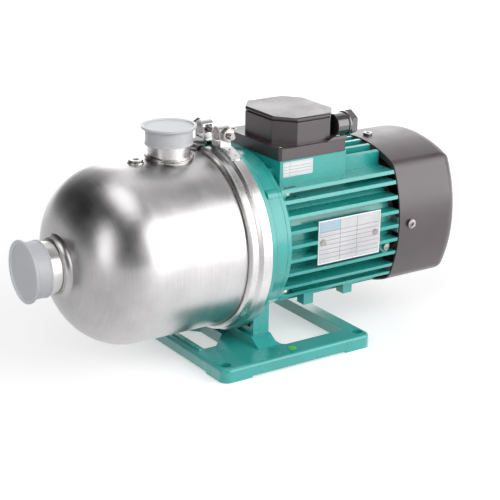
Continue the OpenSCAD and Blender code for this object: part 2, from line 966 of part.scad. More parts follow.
module seal_bellows() {
    start = shaft_seal_start;
    middle = (start + seal_ring_start) / 2;
    waist = bellows_radius - bellows_wall;
    color(rubber) turned([[seal_bore, start + seat_gap], [bellows_radius, start + seat_gap],
        [waist, middle], [bellows_radius, seal_ring_start], [seal_bore, seal_ring_start]]);
}

// Bearings
module bearing_outer(x) {
    middle = x + bearing_width / 2;
    color(bright_steel) difference() {
        ring(bearing_outer_radius, land_outer, x, x + bearing_width);
        along_shaft() rotate_extrude() translate([bearing_pitch, middle]) circle(track_radius);
    }
}

module bearing_inner(x) {
    middle = x + bearing_width / 2;
    color(bright_steel) difference() {
        ring(land_inner, shaft_bearing_radius + bearing_seat_gap, x, x + bearing_width);
        along_shaft() rotate_extrude() translate([bearing_pitch, middle]) circle(track_radius);
    }
}

module ball_cage(x) {
    middle = x + bearing_width / 2;
    color(steel) union() {
        ring(cage_outer, cage_inner, middle - cage_width / 2, middle + cage_width / 2);
        for (turn = [0 : 360 / ball_count : 359])
            around_shaft(turn) translate([middle, 0, bearing_pitch]) sphere(ball_radius);
    }
}

module front_bearing_outer() {
    bearing_outer(front_bearing_x);
}

module front_bearing_inner() {
    bearing_inner(front_bearing_x);
}

module front_ball_cage() {
    ball_cage(front_bearing_x);
}

module rear_bearing_outer() {
    bearing_outer(rear_bearing_x);
}

module rear_bearing_inner() {
    bearing_inner(rear_bearing_x);
}

module rear_ball_cage() {
    ball_cage(rear_bearing_x);
}

module wave_washer() {
    color(steel) ring(bearing_outer_radius - seat_gap, washer_inner, rear_bearing_x + bearing_width,
        rear_bearing_x + bearing_width + washer_thickness);
}

// Flange outline that the lantern and the motor housing share
module flange_outline() {
    circle(front_rim_radius);
    for (turn = screw_turns)
        rotate(turn) translate([screw_circle, 0]) circle(lantern_boss_radius);
}

module flange_bosses(radius, x_from, x_to) {
    for (turn = screw_turns)
        around_shaft(turn) translate([x_from, 0, screw_circle]) rotate([0, 90, 0])
            cylinder(r = radius, h = x_to - x_from);
}

// Lantern
module lantern_shell() {
    turned([[0, lantern_start], [lantern_clamp_radius, lantern_start],
        [lantern_clamp_radius, lantern_step], [lantern_rim_radius, lantern_step],
        [lantern_rim_radius, lantern_rim_end], [front_rim_radius - seat_gap, lantern_neck_start],
        [front_rim_radius - seat_gap, lantern_end - cut], [0, lantern_end - cut]]);
}

module lantern_cavity() {
    hub_outer = bearing_outer_radius + hub_wall;
    turned([[0, lantern_start - cut], [lantern_cavity_radius, lantern_start - cut],
        [lantern_cavity_radius, lantern_cavity_end], [lantern_inner_radius, lantern_neck_start],
        [lantern_inner_radius, lantern_web_start], [hub_outer, lantern_web_start],
        [hub_outer, hub_nose], [0, hub_nose]]);
}

module lantern_foot() {
    leg_top = shaft_height - front_rim_radius / 2;
    difference() {
        block(foot_start, foot_end, -foot_half_width, foot_half_width, block_top_z, foot_top);
        block(foot_start - cut, foot_end - foot_wall, -foot_half_width + foot_wall, -foot_rib_y,
            block_top_z + foot_sole, leg_top);
        block(foot_start - cut, foot_end - foot_wall, foot_rib_y, foot_half_width - foot_wall,
            block_top_z + foot_sole, leg_top);
        block(foot_start - cut, foot_end - foot_wall, -foot_rib_y + foot_wall, foot_rib_y - foot_wall,
            block_top_z + foot_sole, leg_top);
    }
}

module lantern() {
    color(green) difference() {
        union() {
            lantern_shell();
            lantern_foot();
            along_shaft() translate([0, 0, lantern_boss_start])
                linear_extrude(lantern_end - lantern_boss_start) flange_outline();
        }
        lantern_cavity();
        disc(hub_lip_radius, hub_nose - cut, front_bearing_x + cut);
        disc(bearing_outer_radius + bearing_seat_gap, front_bearing_x, lantern_end + cut);
        flange_bosses(flange_screw_radius + screw_clearance, lantern_boss_start + cut,
            lantern_end + cut);
        for (y = [-foot_bolt_y, foot_bolt_y])
            upright((foot_start + foot_end) / 2, y, foot_bolt_radius + screw_clearance, 0,
                block_top_z + foot_sole + cut);
    }
}

// Motor housing
module fins() {
    length = fins_end - fins_start;
    intersection() {
        squircle_bar(housing_half_width, squircle_bulge, squircle_corner, fins_start, fins_end);
        union() {
            for (step = [-3 : 3])
                block(fins_start, fins_end, -cover_half_width, cover_half_width, shaft_height
                    + step * side_fin_pitch - fin_thickness / 2, shaft_height
                    + step * side_fin_pitch + fin_thickness / 2);
            for (step = [-2.5 : 2.5])
                translate([fins_start, step * upright_fin_pitch - fin_thickness / 2,
                    shaft_height - cover_half_width]) cube([length, fin_thickness,
                    2 * cover_half_width]);
            for (side = [-1, 1])
                translate([fins_start, -cover_half_width, shaft_height + side * rail_height
                    - fin_thickness / 2]) cube([length, 2 * cover_half_width, fin_thickness]);
        }
    }
}

module housing_lug(x_from, x_to, bottom) {
    for (side = [-1, 1])
        translate([x_from, side * lug_y - lug_width / 2, shaft_height + bottom])
            cube([x_to - x_from, lug_width, lug_top - bottom]);
}

module motor_housing() {
    color(green) difference() {
        union() {
            disc(housing_wall_radius, housing_start + cut, housing_end);
            turned([[0, front_rim_end - cut], [front_rim_radius - seat_gap, front_rim_end - cut],
                [front_rim_radius - seat_gap, front_rim_end], [front_cone_radius, front_cone_x],
                [housing_wall_radius - cut, front_cone_end], [0, front_cone_end]]);
            along_shaft() translate([0, 0, housing_start])
                linear_extrude(front_rim_end - housing_start) flange_outline();
            fins();
            block(pedestal_start, pedestal_end, -pedestal_half_width, pedestal_half_width,
                shaft_height, shaft_height + pedestal_top);
            housing_lug(lug_one_start, lug_one_end, lug_bottom);
            housing_lug(lug_two_start, lug_two_end, lug_bottom + lug_step);
            block(plate_start + plate_pad_inset, plate_end - plate_pad_inset,
                -housing_half_width + plate_thickness, -stator_radius, shaft_height + plate_bottom
                + plate_pad_inset, shaft_height + plate_top - plate_pad_inset);
            translate([earth_x, -housing_half_width + plate_back, shaft_height + earth_z])
                rotate([-90, 0, 0]) cylinder(r = earth_boss_radius, h = stator_radius / 2);
            flange_bosses(housing_boss_radius, housing_start + cut, housing_boss_end);
        }
        disc(stator_radius + bearing_seat_gap, housing_start - cut, housing_end + fins_end);
        disc(shield_radius + body_gap, housing_end, fins_end + cut);
        flange_bosses(flange_screw_head_radius + 2 * body_gap, housing_boss_end,
            housing_boss_end + screw_pocket_length);
        flange_bosses(flange_screw_radius + screw_clearance, housing_start - cut, housing_end);
        upright(wire_hole_x, 0, wire_hole_radius, shaft_height, shaft_height + pedestal_top + cut);
        translate([earth_x, -housing_half_width, shaft_height + earth_z]) rotate([-90, 0, 0])
            cylinder(r = rivet_radius + screw_clearance, h = plate_back + rivet_depth);
        nameplate_pocket();
    }
}

module nameplate_pocket() {
    y = -housing_half_width;
    block(plate_start - seat_gap, plate_end + seat_gap, y - cut, y + plate_thickness,
        shaft_height + plate_bottom - seat_gap, shaft_height + plate_top + seat_gap);
}

module flange_screws() {
    color(bright_steel) for (turn = screw_turns)
        around_shaft(turn) translate([housing_boss_end, 0, screw_circle]) rotate([0, 90, 0]) union() {
            difference() {
                cylinder(r = flange_screw_head_radius, h = flange_screw_head_height);
                translate([0, 0, flange_screw_head_height / 2]) cylinder(r = flange_screw_radius,
                    h = flange_screw_head_height, $fn = 6);
            }
            translate([0, 0, -flange_screw_depth]) cylinder(r = flange_screw_radius,
                h = flange_screw_depth + cut);
        }
}

module slot_wedges(width, inner, outer) {
    for (turn = [0 : 360 / stator_slots : 359])
        rotate(turn) translate([(inner + outer) / 2, 0]) square([outer - inner, width], center = true);
}

module stator_core() {
    color(lamination) along_shaft() translate([0, 0, stator_start])
        linear_extrude(stator_end - stator_start) difference() {
            circle(stator_radius);
            circle(rotor_radius + air_gap);
            slot_wedges(slot_width, rotor_radius, slot_outer);
        }
}

module stator_windings() {
    color(copper) union() {
        ring(winding_outer, winding_inner, winding_start, stator_start - slot_slack);
        ring(winding_outer, winding_inner, stator_end + slot_slack, winding_end);
        along_shaft() translate([0, 0, winding_start + cut])
            linear_extrude(winding_end - winding_start - 2 * cut)
                slot_wedges(slot_width - 2 * slot_slack, winding_inner + slot_slack,
                    slot_outer - slot_slack);
    }
}

module rotor_core() {
    color(lamination) ring(rotor_radius, shaft_rotor_radius + bearing_seat_gap, stator_start,
        stator_end);
}

module rotor_cage() {
    color(aluminium) union() {
        ring(end_ring_outer, end_ring_inner, stator_start - end_ring_length, stator_start);
        ring(end_ring_outer, end_ring_inner, stator_end, stator_end + end_ring_length);
    }
}

// Rear end shield
module shield_lugs() {
    reach = cover_half_width - cover_wall - shield_lug_gap;
    for (turn = [0 : 90 : 359])
        around_shaft(turn) block(shield_lug_start, shield_lug_end, -shield_lug_width / 2,
            shield_lug_width / 2, shield_lug_inner, reach);
}

module rear_end_shield() {
    spigot_inner = stator_radius - shield_spigot_wall;
    color(aluminium) difference() {
        union() {
            disc(shield_radius, shield_start, shield_end);
            ring(stator_radius - seat_gap, spigot_inner, shield_spigot_start, shield_end);
            disc(shield_hub_radius, shield_hub_start, shield_end);
            shield_lugs();
        }
        disc(bearing_outer_radius + bearing_seat_gap, shield_hub_start - cut,
            rear_bearing_x + bearing_width + washer_thickness);
        disc(shield_shaft_hole, shield_hub_start, shield_end + cut);
        for (turn = [0 : 90 : 359])
            around_shaft(turn) upright(cover_screw_x, 0, cover_screw_radius + screw_clearance,
                shield_lug_inner + cut, cover_half_width + cut);
    }
}

module cooling_fan() {
    color(black_plastic) difference() {
        union() {
            disc(fan_hub_radius, fan_hub_start, fan_hub_end);
            disc(fan_disc_radius, fan_disc_start, fan_disc_start + fan_disc_thickness);
            for (turn = [0 : 360 / fan_blades : 359])
                around_shaft(turn) block(fan_disc_start + fan_disc_thickness / 2, fan_blade_end,
                    -fan_blade_thickness / 2, fan_blade_thickness / 2, fan_hub_radius - cut,
                    fan_blade_radius);
        }
        disc(shaft_fan_radius + bearing_seat_gap, fan_hub_start - cut, fan_hub_end + cut);
    }
}

// Fan cover
module rounded_disc(radius, edge, x_from, tip) {
    rotate_extrude() union() {
        translate([0, x_from]) square([radius, tip - edge - x_from]);
        translate([0, x_from]) square([radius - edge, tip - x_from]);
        translate([radius - edge, tip - edge]) circle(edge);
    }
}

module cover_body(inset) {
    half_width = cover_half_width - inset;
    centre = squircle_bulge - cover_half_width;
    edge = cover_edge_radius - inset;
    tip = cover_end - inset;
    x_from = cover_start - (inset > 0 ? cut : 0);
    intersection() {
        squircle_bar(half_width + cover_skin_gap, squircle_bulge - inset + cover_skin_gap,
            squircle_corner - inset + cover_skin_gap, x_from, cover_end);
        for_sides(centre) rounded_disc(squircle_bulge - inset, edge, x_from - cut, tip);
        along_shaft() rounded_disc(cover_corner_radius - inset, edge, x_from - 2 * cut, tip);
    }
}

module for_sides(centre) {
    along_shaft() intersection() {
        translate([centre, 0]) children();
        translate([-centre, 0]) children();
        translate([0, centre]) children();
        translate([0, -centre]) children();
    }
}

module grille_cut() {
    difference() {
        for (step = [0 : grille_rings - 1])
            ring(grille_inner + step * grille_pitch + grille_slot, grille_inner + step * grille_pitch,
                cover_end - 2 * cover_wall, cover_end + cut);
        for (turn = [0 : 180 / grille_spokes * 2 : 179])
            around_shaft(turn) block(cover_end - 3 * cover_wall, cover_end + 2 * cut,
                -grille_spoke_width / 2, grille_spoke_width / 2, -cover_half_width, cover_half_width);
    }
}

module fan_cover() {
    color(black_plastic) difference() {
        cover_body(0);
        cover_body(cover_wall);
        grille_cut();
        for (turn = [0 : 90 : 359])
            around_shaft(turn) upright(cover_screw_x, 0, cover_screw_radius + screw_clearance,
                shield_lug_inner, cover_half_width + 2 * cut);
    }
}

module fan_cover_screws() {
    color(bright_steel) for (turn = [0 : 90 : 359])
        around_shaft(turn) translate([cover_screw_x, 0, cover_half_width + seat_gap]) union() {
            difference() {
                cylinder(r = cover_screw_head_radius, h = cover_screw_head_height);
                translate([0, 0, cover_screw_head_height / 2]) cylinder(r = cover_screw_radius,
                    h = cover_screw_head_height, $fn = 6);
            }
            translate([0, 0, -cover_screw_length]) cylinder(r = cover_screw_radius,
                h = cover_screw_length + cover_screw_head_height / 2);
        }
}

// Nameplate and earth screw
module nameplate() {
    y = -housing_half_width;
    color(bright_steel) difference() {
        block(plate_start, plate_end, y, y + plate_thickness - seat_gap, shaft_height + plate_bottom,
            shaft_height + plate_top);
        rivet_holes(rivet_radius + seat_gap);
    }
}

module rivet_holes(radius) {
    middle = (plate_bottom + plate_top) / 2;
    for (x = [plate_start + rivet_inset_x, plate_end - rivet_inset_x])
        translate([x, -housing_half_width - cut, shaft_height + middle]) rotate([-90, 0, 0])
            cylinder(r = radius, h = plate_thickness + 2 * cut);
}

module nameplate_rivets() {
    middle = (plate_bottom + plate_top) / 2;
    color(steel) for (x = [plate_start + rivet_inset_x, plate_end - rivet_inset_x])
        translate([x, -housing_half_width, shaft_height + middle]) rotate([90, 0, 0]) union() {
            cylinder(r = 2 * rivet_radius, h = rivet_head);
            translate([0, 0, -plate_thickness + seat_gap]) cylinder(r = rivet_radius,
                h = plate_thickness);
        }
}

module earth_screw() {
    color(bright_steel) translate([earth_x, -housing_half_width + plate_back, shaft_height + earth_z])
        rotate([90, 0, 0]) union() {
            cylinder(r = earth_radius, h = earth_head_height, $fn = 6);
            translate([0, 0, -rivet_depth]) cylinder(r = rivet_radius, h = rivet_depth + cut);
        }
}

// Terminal box
module chamfered(x_from, x_to, half_width, corner_x, corner_y) {
    polygon([[x_from, -half_width + corner_y], [x_from + corner_x, -half_width],
        [x_to - corner_x, -half_width], [x_to, -half_width + corner_y], [x_to, half_width - corner_y],
        [x_to - corner_x, half_width], [x_from + corner_x, half_width],
        [x_from, half_width - corner_y]]);
}

module box_outline(inset) {
    chamfered(box_start + inset, box_end - inset, box_half_width - inset, box_corner_x, box_corner_y);
}

module screw_spots() {
    for (x = [tray_start + box_screw_inset, tray_end - box_screw_inset],
        y = [-tray_half_width + box_screw_inset, tray_half_width - box_screw_inset])
        translate([x, y]) children();
}

module terminal_box_base() {
    tray_bottom = shaft_height + pedestal_top + seat_gap;
    tray_top = tray_bottom + tray_height;
    color(black_plastic) difference() {
        union() {
            translate([0, 0, tray_bottom]) linear_extrude(tray_height) chamfered(tray_start, tray_end,
                tray_half_width, box_wall, box_wall);
            translate([0, 0, tray_bottom]) linear_extrude(tray_height + box_height) box_outline(0);
        }
        translate([0, 0, tray_bottom + box_wall]) linear_extrude(tray_height + box_height)
            box_outline(box_wall);
        translate([0, 0, tray_top - box_screw_head_height]) linear_extrude(box_height) screw_spots()
            circle(box_screw_head_radius + 4 * seat_gap);
        translate([0, 0, tray_bottom - cut]) linear_extrude(tray_height + cut) screw_spots()
            circle(box_screw_radius + screw_clearance);
        upright(wire_hole_x, 0, wire_hole_radius, tray_bottom - cut, tray_bottom + box_wall + cut);
        translate([box_end - 2 * box_wall, gland_y, shaft_height + gland_height]) rotate([0, 90, 0])
            cylinder(r = gland_bore + box_wall + seat_gap, h = 4 * box_wall);
        translate([box_end, gland_y, shaft_height + gland_height]) rotate([0, 90, 0])
            cylinder(r = gland_flange_radius + 2 * seat_gap, h = tray_end);
    }
}

module box_screws() {
    seat = shaft_height + pedestal_top + tray_height - box_screw_head_height + 2 * seat_gap;
    color(bright_steel) translate([0, 0, seat]) screw_spots() union() {
        difference() {
            cylinder(r = box_screw_head_radius, h = box_screw_head_height);
            translate([0, 0, box_screw_head_height / 2]) cylinder(r = box_screw_radius,
                h = box_screw_head_height, $fn = 6);
        }
        translate([0, 0, -tray_height + box_screw_head_height]) cylinder(r = box_screw_radius,
            h = tray_height - box_screw_head_height / 2);
    }
}

module lid_profile(from, to, low, high) {
    bevel = lid_edge + cut;
    polygon([[from - cut, low - cut], [to + cut, low - cut], [to + cut, high - bevel],
        [to - bevel, high + cut], [from + bevel, high + cut], [from - cut, high - bevel]]);
}

module lid_plate(low, high) {
    intersection() {
        translate([0, 0, low]) linear_extrude(high - low) box_outline(0);
        translate([box_start - cut, 0, 0]) rotate([90, 0, 90])
            linear_extrude(box_end - box_start + 2 * cut)
            lid_profile(-box_half_width, box_half_width, low, high);
        rotate([90, 0, 0]) linear_extrude(2 * tray_half_width, center = true)
            lid_profile(box_start, box_end, low, high);
    }
}

module terminal_box_lid() {
    bottom = shaft_height + pedestal_top + tray_height + box_height + 2 * seat_gap;
    color(black_plastic) union() {
        translate([0, 0, bottom]) linear_extrude(lid_thickness / 2) box_outline(lid_seam_inset);
        lid_plate(bottom + lid_seam, bottom + lid_thickness);
        translate([0, 0, bottom - lid_lip_depth]) linear_extrude(lid_lip_depth + cut) difference() {
            box_outline(box_wall + lid_gap);
            box_outline(2 * box_wall + lid_gap);
        }
    }
}

module terminal_block() {
    floor_z = shaft_height + pedestal_top + box_wall + 2 * seat_gap;
    color(ceramic) union() {
        block(block_x, block_x + block_length, block_y - block_width / 2, block_y + block_width / 2,
            floor_z, floor_z + block_top);
        for (step = [0.5 : block_posts - 0.5])
            upright(block_x + step * block_length / block_posts, block_y, block_post_radius, floor_z,
                floor_z + block_top + block_post_height);
    }
}

module capacitor() {
    floor_z = shaft_height + pedestal_top + box_wall + 2 * seat_gap;
    color(aluminium) translate([capacitor_start, capacitor_y, floor_z + capacitor_radius])
        rotate([0, 90, 0]) cylinder(r = capacitor_radius, h = capacitor_end - capacitor_start);
}

module cable_gland() {
    inner_end = box_end - box_wall - cut;
    color(black_plastic) translate([0, gland_y, shaft_height + gland_height]) rotate([0, 90, 0])
        difference() {
            union() {
                translate([0, 0, box_end + seat_gap]) cylinder(r = gland_flange_radius,
                    h = gland_flange_end - box_end, $fn = 6);
                translate([0, 0, gland_flange_end]) cylinder(r = gland_radius,
                    h = gland_end - gland_flange_end);
                translate([0, 0, inner_end]) cylinder(r = gland_bore + box_wall,
                    h = gland_flange_end - inner_end);
            }
            translate([0, 0, inner_end - cut]) cylinder(r = gland_bore, h = gland_flange_end
                - inner_end);
        }
}

module gland_nut() {
    color(black_plastic) translate([gland_end + seat_gap, gland_y, shaft_height + gland_height])
        rotate([0, 90, 0]) difference() {
            cylinder(r = gland_nut_radius, h = gland_nut_end - gland_end, $fn = 6);
            translate([0, 0, gland_nut_end - gland_end - 2 * cut]) cylinder(r = gland_bore,
                h = 3 * cut);
        }
}

// Base plate
module rounded_rectangle(half_x, half_y, radius) {
    square([2 * half_x, 2 * (half_y - radius)], center = true);
    square([2 * (half_x - radius), 2 * half_y], center = true);
    for (x = [-half_x + radius, half_x - radius], y = [-half_y + radius, half_y - radius])
        translate([x, y]) circle(radius);
}

module plate_body() {
    edge = plate_edge_radius;
    slab = base_thickness - edge;
    corner_x = base_half_length - plate_corner_radius;
    corner_y = base_half_width - plate_corner_radius;
    linear_extrude(slab) rounded_rectangle(base_half_length, base_half_width, plate_corner_radius);
    linear_extrude(base_thickness) rounded_rectangle(base_half_length - edge, base_half_width - edge,
        plate_corner_radius - edge);
    for (side = [-1, 1]) {
        translate([-corner_x, side * (base_half_width - edge), slab]) rotate([0, 90, 0])
            cylinder(r = edge, h = 2 * corner_x);
        translate([side * (base_half_length - edge), -corner_y, slab]) rotate([-90, 0, 0])
            cylinder(r = edge, h = 2 * corner_y);
    }
    for (x = [-corner_x, corner_x], y = [-corner_y, corner_y])
        translate([x, y, slab]) rotate_extrude() intersection() {
            translate([plate_corner_radius - edge, 0]) circle(edge);
            translate([0, -edge]) square([2 * plate_corner_radius, 2 * edge]);
        }
}

module foot_block() {
    translate([block_start, 0, 0]) rotate([90, 0, 90]) linear_extrude(block_end - block_start)
        polygon([[-block_base_half_width, base_top - cut], [block_base_half_width, base_top - cut],
            [block_base_half_width, base_top], [block_half_width, block_top_z],
            [-block_half_width, block_top_z], [-block_base_half_width, base_top]]);
}

module barrel_window() {
    polygon([[barrel_window_start, -barrel_window_half_width],
        [barrel_window_corner, -barrel_window_half_width], [barrel_window_end,
        -barrel_window_waist], [barrel_window_end, barrel_window_waist],
        [barrel_window_corner, barrel_window_half_width],
        [barrel_window_start, barrel_window_half_width]]);
}

module base_plate() {
    relief_x = base_half_length - pad_length;
    relief_y = base_half_width - pad_length;
    color(green) difference() {
        union() {
            plate_body();
            foot_block();
            block(ridge_x - ridge_width / 2, ridge_x + ridge_width / 2, -ridge_half_length,
                ridge_half_length, base_top - cut, base_top + ridge_height);
        }
        translate([(window_start + window_end) / 2, 0, -cut]) linear_extrude(2 * base_thickness)
            rounded_rectangle((window_end - window_start) / 2, window_half_width,
                window_corner_radius);
        translate([0, 0, -cut]) linear_extrude(2 * base_thickness) barrel_window();
        disc(band_radius + 2 * body_gap, band_start - body_gap, block_relief_end);
        disc(front_rim_radius + 2 * body_gap, block_relief_end - cut, block_end + cut);
        block(-relief_x, relief_x, -base_half_width - cut, base_half_width + cut, -cut, pad_relief);
        block(-base_half_length - cut, base_half_length + cut, -relief_y, relief_y, -cut, pad_relief);
        for (x = [bolt_inset_x - base_half_length, base_half_length - bolt_inset_x],
            y = [bolt_inset_y - base_half_width, base_half_width - bolt_inset_y])
            upright(x, y, bolt_hole_radius, -cut, base_thickness + cut);
        for (y = [-foot_bolt_y, foot_bolt_y]) {
            upright((foot_start + foot_end) / 2, y, foot_bolt_radius + screw_clearance, -cut,
                block_top_z + cut);
            upright((foot_start + foot_end) / 2, y, foot_bolt_head_radius + 2 * screw_clearance, -cut,
                pad_relief + foot_bolt_head_height);
        }
    }
}

module foot_bolts() {
    seat = pad_relief + foot_bolt_head_height - seat_gap;
    color(bright_steel) for (y = [-foot_bolt_y, foot_bolt_y])
        translate([(foot_start + foot_end) / 2, y, 0]) union() {
            translate([0, 0, pad_relief + seat_gap]) cylinder(r = foot_bolt_head_radius,
                h = seat - pad_relief - seat_gap, $fn = 6);
            cylinder_between(foot_bolt_radius, pad_relief + cut, block_top_z + foot_sole - cut / 2);
        }
}

module cylinder_between(radius, z_from, z_to) {
    translate([0, 0, z_from]) cylinder(r = radius, h = z_to - z_from);
}

suction_cap();
discharge_cap();
pump_barrel();
suction_socket();
discharge_socket();
vent_plug();
drain_plug();
clamp_band();
clamp_trunnions();
clamp_bolt();
clamp_nut();
casing_seal();
seal_cover();
inlet_plate();
stage_1();
stage_2();
stage_3();
stage_4();
pack_support();
wear_rings();
impeller_1();
impeller_2();
impeller_3();
impeller_4();
impeller_nut();
seal_seat();
seal_ring();
seal_bellows();
lantern();
motor_housing();
flange_screws();
stator_core();
stator_windings();
rotor_core();
rotor_cage();
shaft();
front_bearing_outer();
front_bearing_inner();
front_ball_cage();
rear_bearing_outer();
rear_bearing_inner();
rear_ball_cage();
wave_washer();
rear_end_shield();
cooling_fan();
fan_cover();
fan_cover_screws();
nameplate();
nameplate_rivets();
earth_screw();
terminal_box_base();
terminal_box_lid();
box_screws();
terminal_block();
capacitor();
cable_gland();
gland_nut();
base_plate();
foot_bolts();
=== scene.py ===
"""Studio scene of a horizontal multistage pump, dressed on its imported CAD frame."""

import json
import logging
import math
from dataclasses import dataclass
from enum import Enum, IntEnum
from typing import Callable

import bmesh
import bpy
from mathutils import Matrix, Vector

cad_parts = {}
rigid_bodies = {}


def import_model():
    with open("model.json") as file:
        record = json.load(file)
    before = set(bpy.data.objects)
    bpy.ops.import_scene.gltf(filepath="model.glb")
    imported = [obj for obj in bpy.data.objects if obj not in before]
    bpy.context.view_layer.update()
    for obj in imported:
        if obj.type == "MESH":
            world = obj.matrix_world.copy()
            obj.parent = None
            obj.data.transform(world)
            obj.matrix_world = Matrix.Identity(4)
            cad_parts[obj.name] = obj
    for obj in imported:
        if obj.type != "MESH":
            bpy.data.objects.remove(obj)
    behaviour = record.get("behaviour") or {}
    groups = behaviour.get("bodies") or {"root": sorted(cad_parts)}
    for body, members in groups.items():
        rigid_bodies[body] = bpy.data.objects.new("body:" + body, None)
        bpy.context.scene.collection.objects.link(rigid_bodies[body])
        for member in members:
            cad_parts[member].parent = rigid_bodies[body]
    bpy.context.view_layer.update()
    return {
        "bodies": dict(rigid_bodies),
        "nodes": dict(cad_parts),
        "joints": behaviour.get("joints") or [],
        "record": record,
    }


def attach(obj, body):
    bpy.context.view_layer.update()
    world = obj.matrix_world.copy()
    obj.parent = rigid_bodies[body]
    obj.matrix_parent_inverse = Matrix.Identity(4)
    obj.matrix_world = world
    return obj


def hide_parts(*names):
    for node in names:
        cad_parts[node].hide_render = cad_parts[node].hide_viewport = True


LOG = logging.getLogger("pump")

Socket = bpy.types.NodeSocket
Triple = tuple[float, float, float]
Pair = tuple[float, float]

# Lengths are in metres and SHARP_ANGLE is in radians. A face looks along an axis where its
# normal's part along that axis is over LOOKING.
SHAFT_Z = 0.09
LOOKING = 0.9
SHARP_ANGLE = 1.0
MERGE_REACH = 0.000002

WHITE = (1.0, 1.0, 1.0, 1.0)
TONE_RANGE = (0.3, 0.7)


class Spread(Enum):
    """How a grain runs over a metal surface."""

    AROUND = "around the shaft"
    ALONG = "along the shaft"


class Blend(Enum):
    """What a Mix node mixes: its type, and where its two inputs and its output are."""

    NUMBER = ("FLOAT", 2, 3, 0)
    VECTOR = ("VECTOR", 4, 5, 1)
    COLOUR = ("RGBA", 6, 7, 2)


class Graph:
    """Small helper that lays out the nodes of one tree."""

    def __init__(self, tree: bpy.types.NodeTree) -> None:
        """Keeps the node tree that is to be filled."""
        self.tree = tree

    def node(self, kind: str, **settings: object) -> bpy.types.Node:
        """Adds a node.

        Args:
            kind: the node's Blender type name without its ShaderNode prefix.
            settings: attributes to set on the node.

        Returns:
            The new node.
        """
        made = self.tree.nodes.new("ShaderNode" + kind)
        for name, value in settings.items():
            setattr(made, name, value)
        return made

    def feed(self, value: object, end: Socket) -> None:
        """Joins a socket to an input, or sets the input to a plain value.

        Args:
            value: a socket or a plain value.
            end: the input.
        """
        if isinstance(value, Socket):
            self.tree.links.new(value, end)
        else:
            end.default_value = value

    def math(self, operation: str, first: object, second: object = None) -> Socket:
        """Adds a Math node.

        Args:
            operation: the name of the operation.
            first: a socket or a number.
            second: a socket, a number or nothing.

        Returns:
            The node's output.
        """
        made = self.node("Math", operation=operation)
        self.feed(first, made.inputs[0])
        if second is not None:
            self.feed(second, made.inputs[1])
        return made.outputs[0]

    def vector(self, operation: str, first: object, second: object = None) -> bpy.types.Node:
        """Adds a Vector Math node.

        Args:
            operation: the name of the operation.
            first: a socket or three numbers.
            second: a socket, three numbers or nothing.

        Returns:
            The node, whose output is called Vector or Value.
        """
        made = self.node("VectorMath", operation=operation)
        self.feed(first, made.inputs[0])
        if second is not None:
            self.feed(second, made.inputs[1])
        return made

    def split(self, vector: Socket) -> tuple[Socket, ...]:
        """Splits a vector.

        Args:
            vector: the vector's socket.

        Returns:
            Its three parts.
        """
        made = self.node("SeparateXYZ")
        self.feed(vector, made.inputs[0])
        return tuple(made.outputs)

    def combine(self, *parts: object) -> Socket:
        """Joins three parts to a vector.

        Args:
            parts: three sockets or numbers.

        Returns:
            The vector.
        """
        made = self.node("CombineXYZ")
        for part, end in zip(parts, made.inputs):
            self.feed(part, end)
        return made.outputs[0]

    def ramp(self, value: Socket, start: Pair, end: Pair = (0.0, 1.0),
             smooth: bool = True) -> Socket:
        """Adds a Map Range node.

        Args:
            value: the socket that it maps.
            start: the range that comes in.
            end: the range that goes out.
            smooth: whether it eases in and out.

        Returns:
            The node's output.
        """
        made = self.node("MapRange", interpolation_type="SMOOTHSTEP" if smooth else "LINEAR")
        self.feed(value, made.inputs["Value"])
        labels = ("From Min", "From Max", "To Min", "To Max")
        for label, number in zip(labels, (*start, *end)):
            made.inputs[label].default_value = number
        return made.outputs[0]

    def noise(self, place: Socket, scale: object, detail: float, roughness: float = 0.5) -> Socket:
        """Adds a Noise Texture node.

        Args:
            place: the coordinates.
            scale: a socket or a number.
            detail: the number of octaves.
            roughness: how strong the small octaves are.

        Returns:
            The node's value.
        """
        made = self.node("TexNoise")
        for label, value in {"Vector": place, "Scale": scale, "Detail": detail,
                             "Roughness": roughness}.items():
            self.feed(value, made.inputs[label])
        return made.outputs[0]

    def mix(self, blend: Blend, factor: Socket, first: object, second: object) -> Socket:
        """Adds a Mix node.

        Args:
            blend: what it mixes.
            factor: the mask that chooses between the two.
            first: socket, number or colour where the mask is 0.
            second: socket, number or colour where the mask is 1.

        Returns:
            The node's output.
        """
        kind, first_place, second_place, output_place = blend.value
        made = self.node("Mix", data_type=kind)
        self.feed(factor, made.inputs[0])
        for value, place in ((first, first_place), (second, second_place)):
            self.feed((*value, 1.0) if isinstance(value, tuple) else value, made.inputs[place])
        return made.outputs[output_place]


class Group(Graph):
    """A node group that is being built."""

    def __init__(self, name: str, inputs: dict[str, float], outputs: tuple[str, ...]) -> None:
        """Starts the group.

        Args:
            name: the group's name.
            inputs: float inputs and their default values.
            outputs: float outputs, apart from one called Normal, which is a vector.
        """
        super().__init__(bpy.data.node_groups.new(name, "ShaderNodeTree"))
        for label, value in inputs.items():
            socket = self.tree.interface.new_socket(name=label, in_out="INPUT",
                                                    socket_type="NodeSocketFloat")
            socket.default_value = value
        for label in outputs:
            kind = "NodeSocketVector" if label == "Normal" else "NodeSocketFloat"
            self.tree.interface.new_socket(name=label, in_out="OUTPUT", socket_type=kind)
        self.source = self.tree.nodes.new("NodeGroupInput").outputs
        self.sink = self.tree.nodes.new("NodeGroupOutput").inputs


